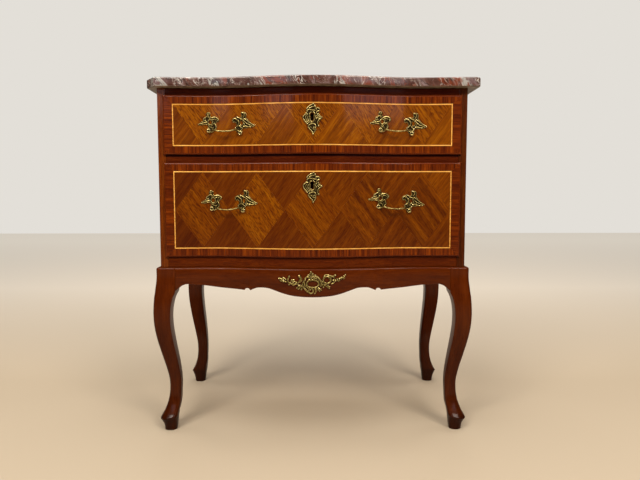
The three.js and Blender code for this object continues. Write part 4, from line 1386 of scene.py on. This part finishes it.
def plate_mesh(outline, hole, strokes, rings, side):
    """A handle plate, with the round end that carries the bail at its origin."""
    holes = [ellipse(*sized(hole, handle_pitch))]
    form = relief(handle_pitch, strokes, rings, (), outline, holes)
    form.add(*ball_form((0, -ball_radius * ball_depth_share, 0), ball_radius * ball_core_share))
    shares = (side * ring_shift_share, 0, ring_width_share, ring_height_share)
    add_ring(form, ring_rib_share * handle_pitch, [share * handle_pitch for share in shares],
             ball_stand_off * ring_lift_share)
    return cast(form)


def make_handle(label, side_name, side):
    """Two plates and a bail between their round ends, as one leaning handle."""
    body = f"{label}_drawer"
    floor, top = openings[label]
    out_share, rise_share = handle_place_shares[label][side_name]
    x = side * out_share * opening_half
    z = floor + rise_share * (top - floor)
    lean = math.radians(handle_lean_degrees[label][side_name])
    seat = lip_thickness + mount_gap
    half = handle_pitch / 2
    name = f"{label}_{side_name}_handle"
    for plate_side, ball_x, ball_z in (("left", -half, 0), ("right", half, -right_plate_drop)):
        spot_x, spot_z = turned(ball_x, ball_z, lean)
        hang_casting(plate_meshes[plate_side], f"{name}_{plate_side}_plate", body,
                     x + spot_x, z + spot_z, seat, lean)
    start = Vector((bail_left_inset - half, bail_left_rise))
    end = Vector((half - bail_right_inset, bail_right_rise - right_plate_drop))
    line = smooth_line(bail_path_shares, bail_steps)
    path = []
    for k, (along, out, sag) in enumerate(line):
        across = start.lerp(end, min(1, max(0, along)))
        reach = bail_foot + out * (bail_reach - bail_foot)
        girth = float(np.interp(k / (len(line) - 1), *zip(*bail_girth_shares)))
        spot_x, spot_z = turned(across.x, across.y - sag * bail_sag, lean)
        path.append((x + spot_x, face_y(x + spot_x, seat) - reach, z + spot_z, girth * bail_radius))
    bail = Form().add(*rod(path, bail_sides)).piece(f"{name}_bail_cast", BRASS, bail_sharp_degrees)
    add_wear(bail.data, [bail_wear] * len(bail.data.vertices))
    place(bail, body, "brass", f"{name}_bail")


def make_apron_mount():
    form = relief(apron_mount_width, apron_mount_stroke_shares, apron_mount_ring_shares,
                  apron_mount_knob_shares)
    ahead = carcass_front - stand_front + mount_gap
    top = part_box("apron_front")[1].z
    hang_casting(cast(form), "apron_mount", "chest", centre_offset,
                 top - apron_mid_height / 2 - apron_mount_drop, ahead)


# Pieces that keep their CAD solid

# The material of each, by the first of these words that its name holds
solid_looks = {
    "post_left": POST_WOOD, "post_right": SHADY_POST_WOOD, "side_panel": SIDE_WOOD,
    "lock_case": LOCK_STEEL, "lock_bolt": BOLT_BRASS, "runner": LINING_Y, "_side_": LINING_Y,
    "back": LINING_X, "bottom": LINING_X, "carcass_top": LINING_X,
}


def dress_nodes():
    """Gives the solids that stay their materials, and the wooden ones their arrises."""
    for name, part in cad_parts.items():
        if part.hide_render:
            continue
        material = next(look for word, look in solid_looks.items() if word in name)
        part.data.materials.clear()
        part.data.materials.append(material)
        if material not in (LOCK_STEEL, BOLT_BRASS):
            bevel = part.modifiers.new("arris", "BEVEL")
            bevel.width = board_bevel
            bevel.segments = 2


# Floor, lights and camera

def make_floor():
    """A pale floor that glows a little far away and behind, as a lit room's does."""
    material, make, shader = new_material("pale_floor")
    behind = make.calc("DIVIDE", make.split(make.spot())[1], floor_half)
    length = make.add("VectorMath", {"operation": "LENGTH"}, Vector=make.spot())["Value"]
    glow_behind = make.ramp(behind, (0.03, 0.0), (0.3, 0.55), (0.8, 0.75))
    glow_around = make.ramp(make.calc("DIVIDE", length, floor_half), (0.3, 0.0), (0.6, 0.22))
    glow = make.mix(1.0, make.mix(1.0, glow_behind, glow_around, "LIGHTEN"), "#e3dcd0", "MULTIPLY")
    make.fill(shader, Base_Color="#b8aa94", Roughness=0.7, Emission_Color=glow,
              Emission_Strength=1.0)
    low = Vector((-floor_half, -floor_half, -floor_depth))
    floor = Form().add(*box_form(low, Vector((floor_half, floor_half, 0)))).piece("floor", material)


def make_room():
    """Soft light from all round, and a plain pale wall for the camera to see."""
    world = bpy.data.worlds.new("room")
    scene.world = world
    world.use_nodes = True
    make = Nodes(world.node_tree)
    room = world.node_tree.nodes["Background"]
    make.fill(room, Color="#e8d8c0", Strength=room_light)
    wall = make.add("Background", Color="#e3dfd8")[0]
    seen = make.add("LightPath")["Is Camera Ray"]
    choice = make.add("MixShader", _0=seen, _1=room.outputs[0], _2=wall)[0]
    make.fill(world.node_tree.nodes["World Output"], Surface=choice)


# Soft lights: name, place, what it is turned to, width and height, watts and colour
soft_lights = [
    ("key", (-1.1, -2.4, 2.5), (0, 0, 0.45), (1.3, 0.9), 80, "#fff6ea"),
    ("fill", (1.3, -2.3, 2.3), (0, 0, 0.4), (1.1, 0.9), 62, "#fff3e6"),
    ("top", (0, -0.5, 2.7), (0, 0, 0.5), (1.8, 1.2), 32, "#fff8f0"),
    ("left window", (-1.2, -3.2, 1.4), (0, -0.2, 0.7), (0.7, 0.6), 3, "#e4ecff"),
    ("right window", (1.5, -3.2, 1.4), (0, -0.2, 0.7), (0.6, 0.6), 3, "#e4ecff"),
    ("back", (0, 1.3, 2.8), (0, 0.1, 0.5), (1.8, 0.8), 26, "#fff6ee"),
    ("side", (-1.7, 0.5, 2.6), (0, 0, 0.5), (0.9, 0.8), 12, "#fff6ee"),
    ("side", (1.7, 0.5, 2.6), (0, 0, 0.5), (0.9, 0.8), 12, "#fff6ee"),
]


def make_lights():
    for name, spot, target, size, power, colour in soft_lights:
        data = bpy.data.lights.new(name, "AREA")
        data.shape = "RECTANGLE"
        data.size, data.size_y = size
        data.energy = power
        data.color = rgb(colour)[:3]
        light = bpy.data.objects.new(name, data)
        scene.collection.objects.link(light)
        light.location = spot
        aim = Vector(target) - Vector(spot)
        light.rotation_euler = aim.to_track_quat("-Z", "Y").to_euler()


def make_camera():
    data = bpy.data.cameras.new("camera")
    data.lens = camera_lens
    data.sensor_width = sensor_width
    camera = bpy.data.objects.new("camera", data)
    scene.collection.objects.link(camera)
    turn = (
        Matrix.Rotation(-camera_yaw, 4, "Z")
        @ Matrix.Rotation(math.pi / 2 - camera_pitch, 4, "X")
        @ Matrix.Rotation(camera_roll, 4, "Z")
    )
    camera.matrix_world = Matrix.Translation(camera_place) @ turn
    scene.camera = camera
    scene.view_settings.view_transform = "Standard"


make_camera()
make_legs()
make_aprons()
make_rails()
make_marble()
make_apron_mount()
plate_meshes = {
    "left": plate_mesh(left_plate_shares, left_plate_hole_share, left_plate_stroke_shares,
                       left_plate_ring_shares, -1),
    "right": plate_mesh(right_plate_shares, right_plate_hole_share, right_plate_stroke_shares,
                        right_plate_ring_shares, 1),
}
for label in openings:
    make_front(label)
    make_frame(label, "crossbanding", BAND_WOOD, crossband_inset, crossband_width,
               crossband_leaf, True, crossband_shade_spread)
    make_frame(label, "stringing", BOXWOOD, stringing_inset, (stringing_width, stringing_width),
               stringing_leaf, False, stringing_shade_spread)
    make_parquetry(label)
    make_escutcheon(label)
    for side_name, side in sides:
        make_handle(label, side_name, side)
dress_nodes()
make_floor()
make_room()
make_lights()
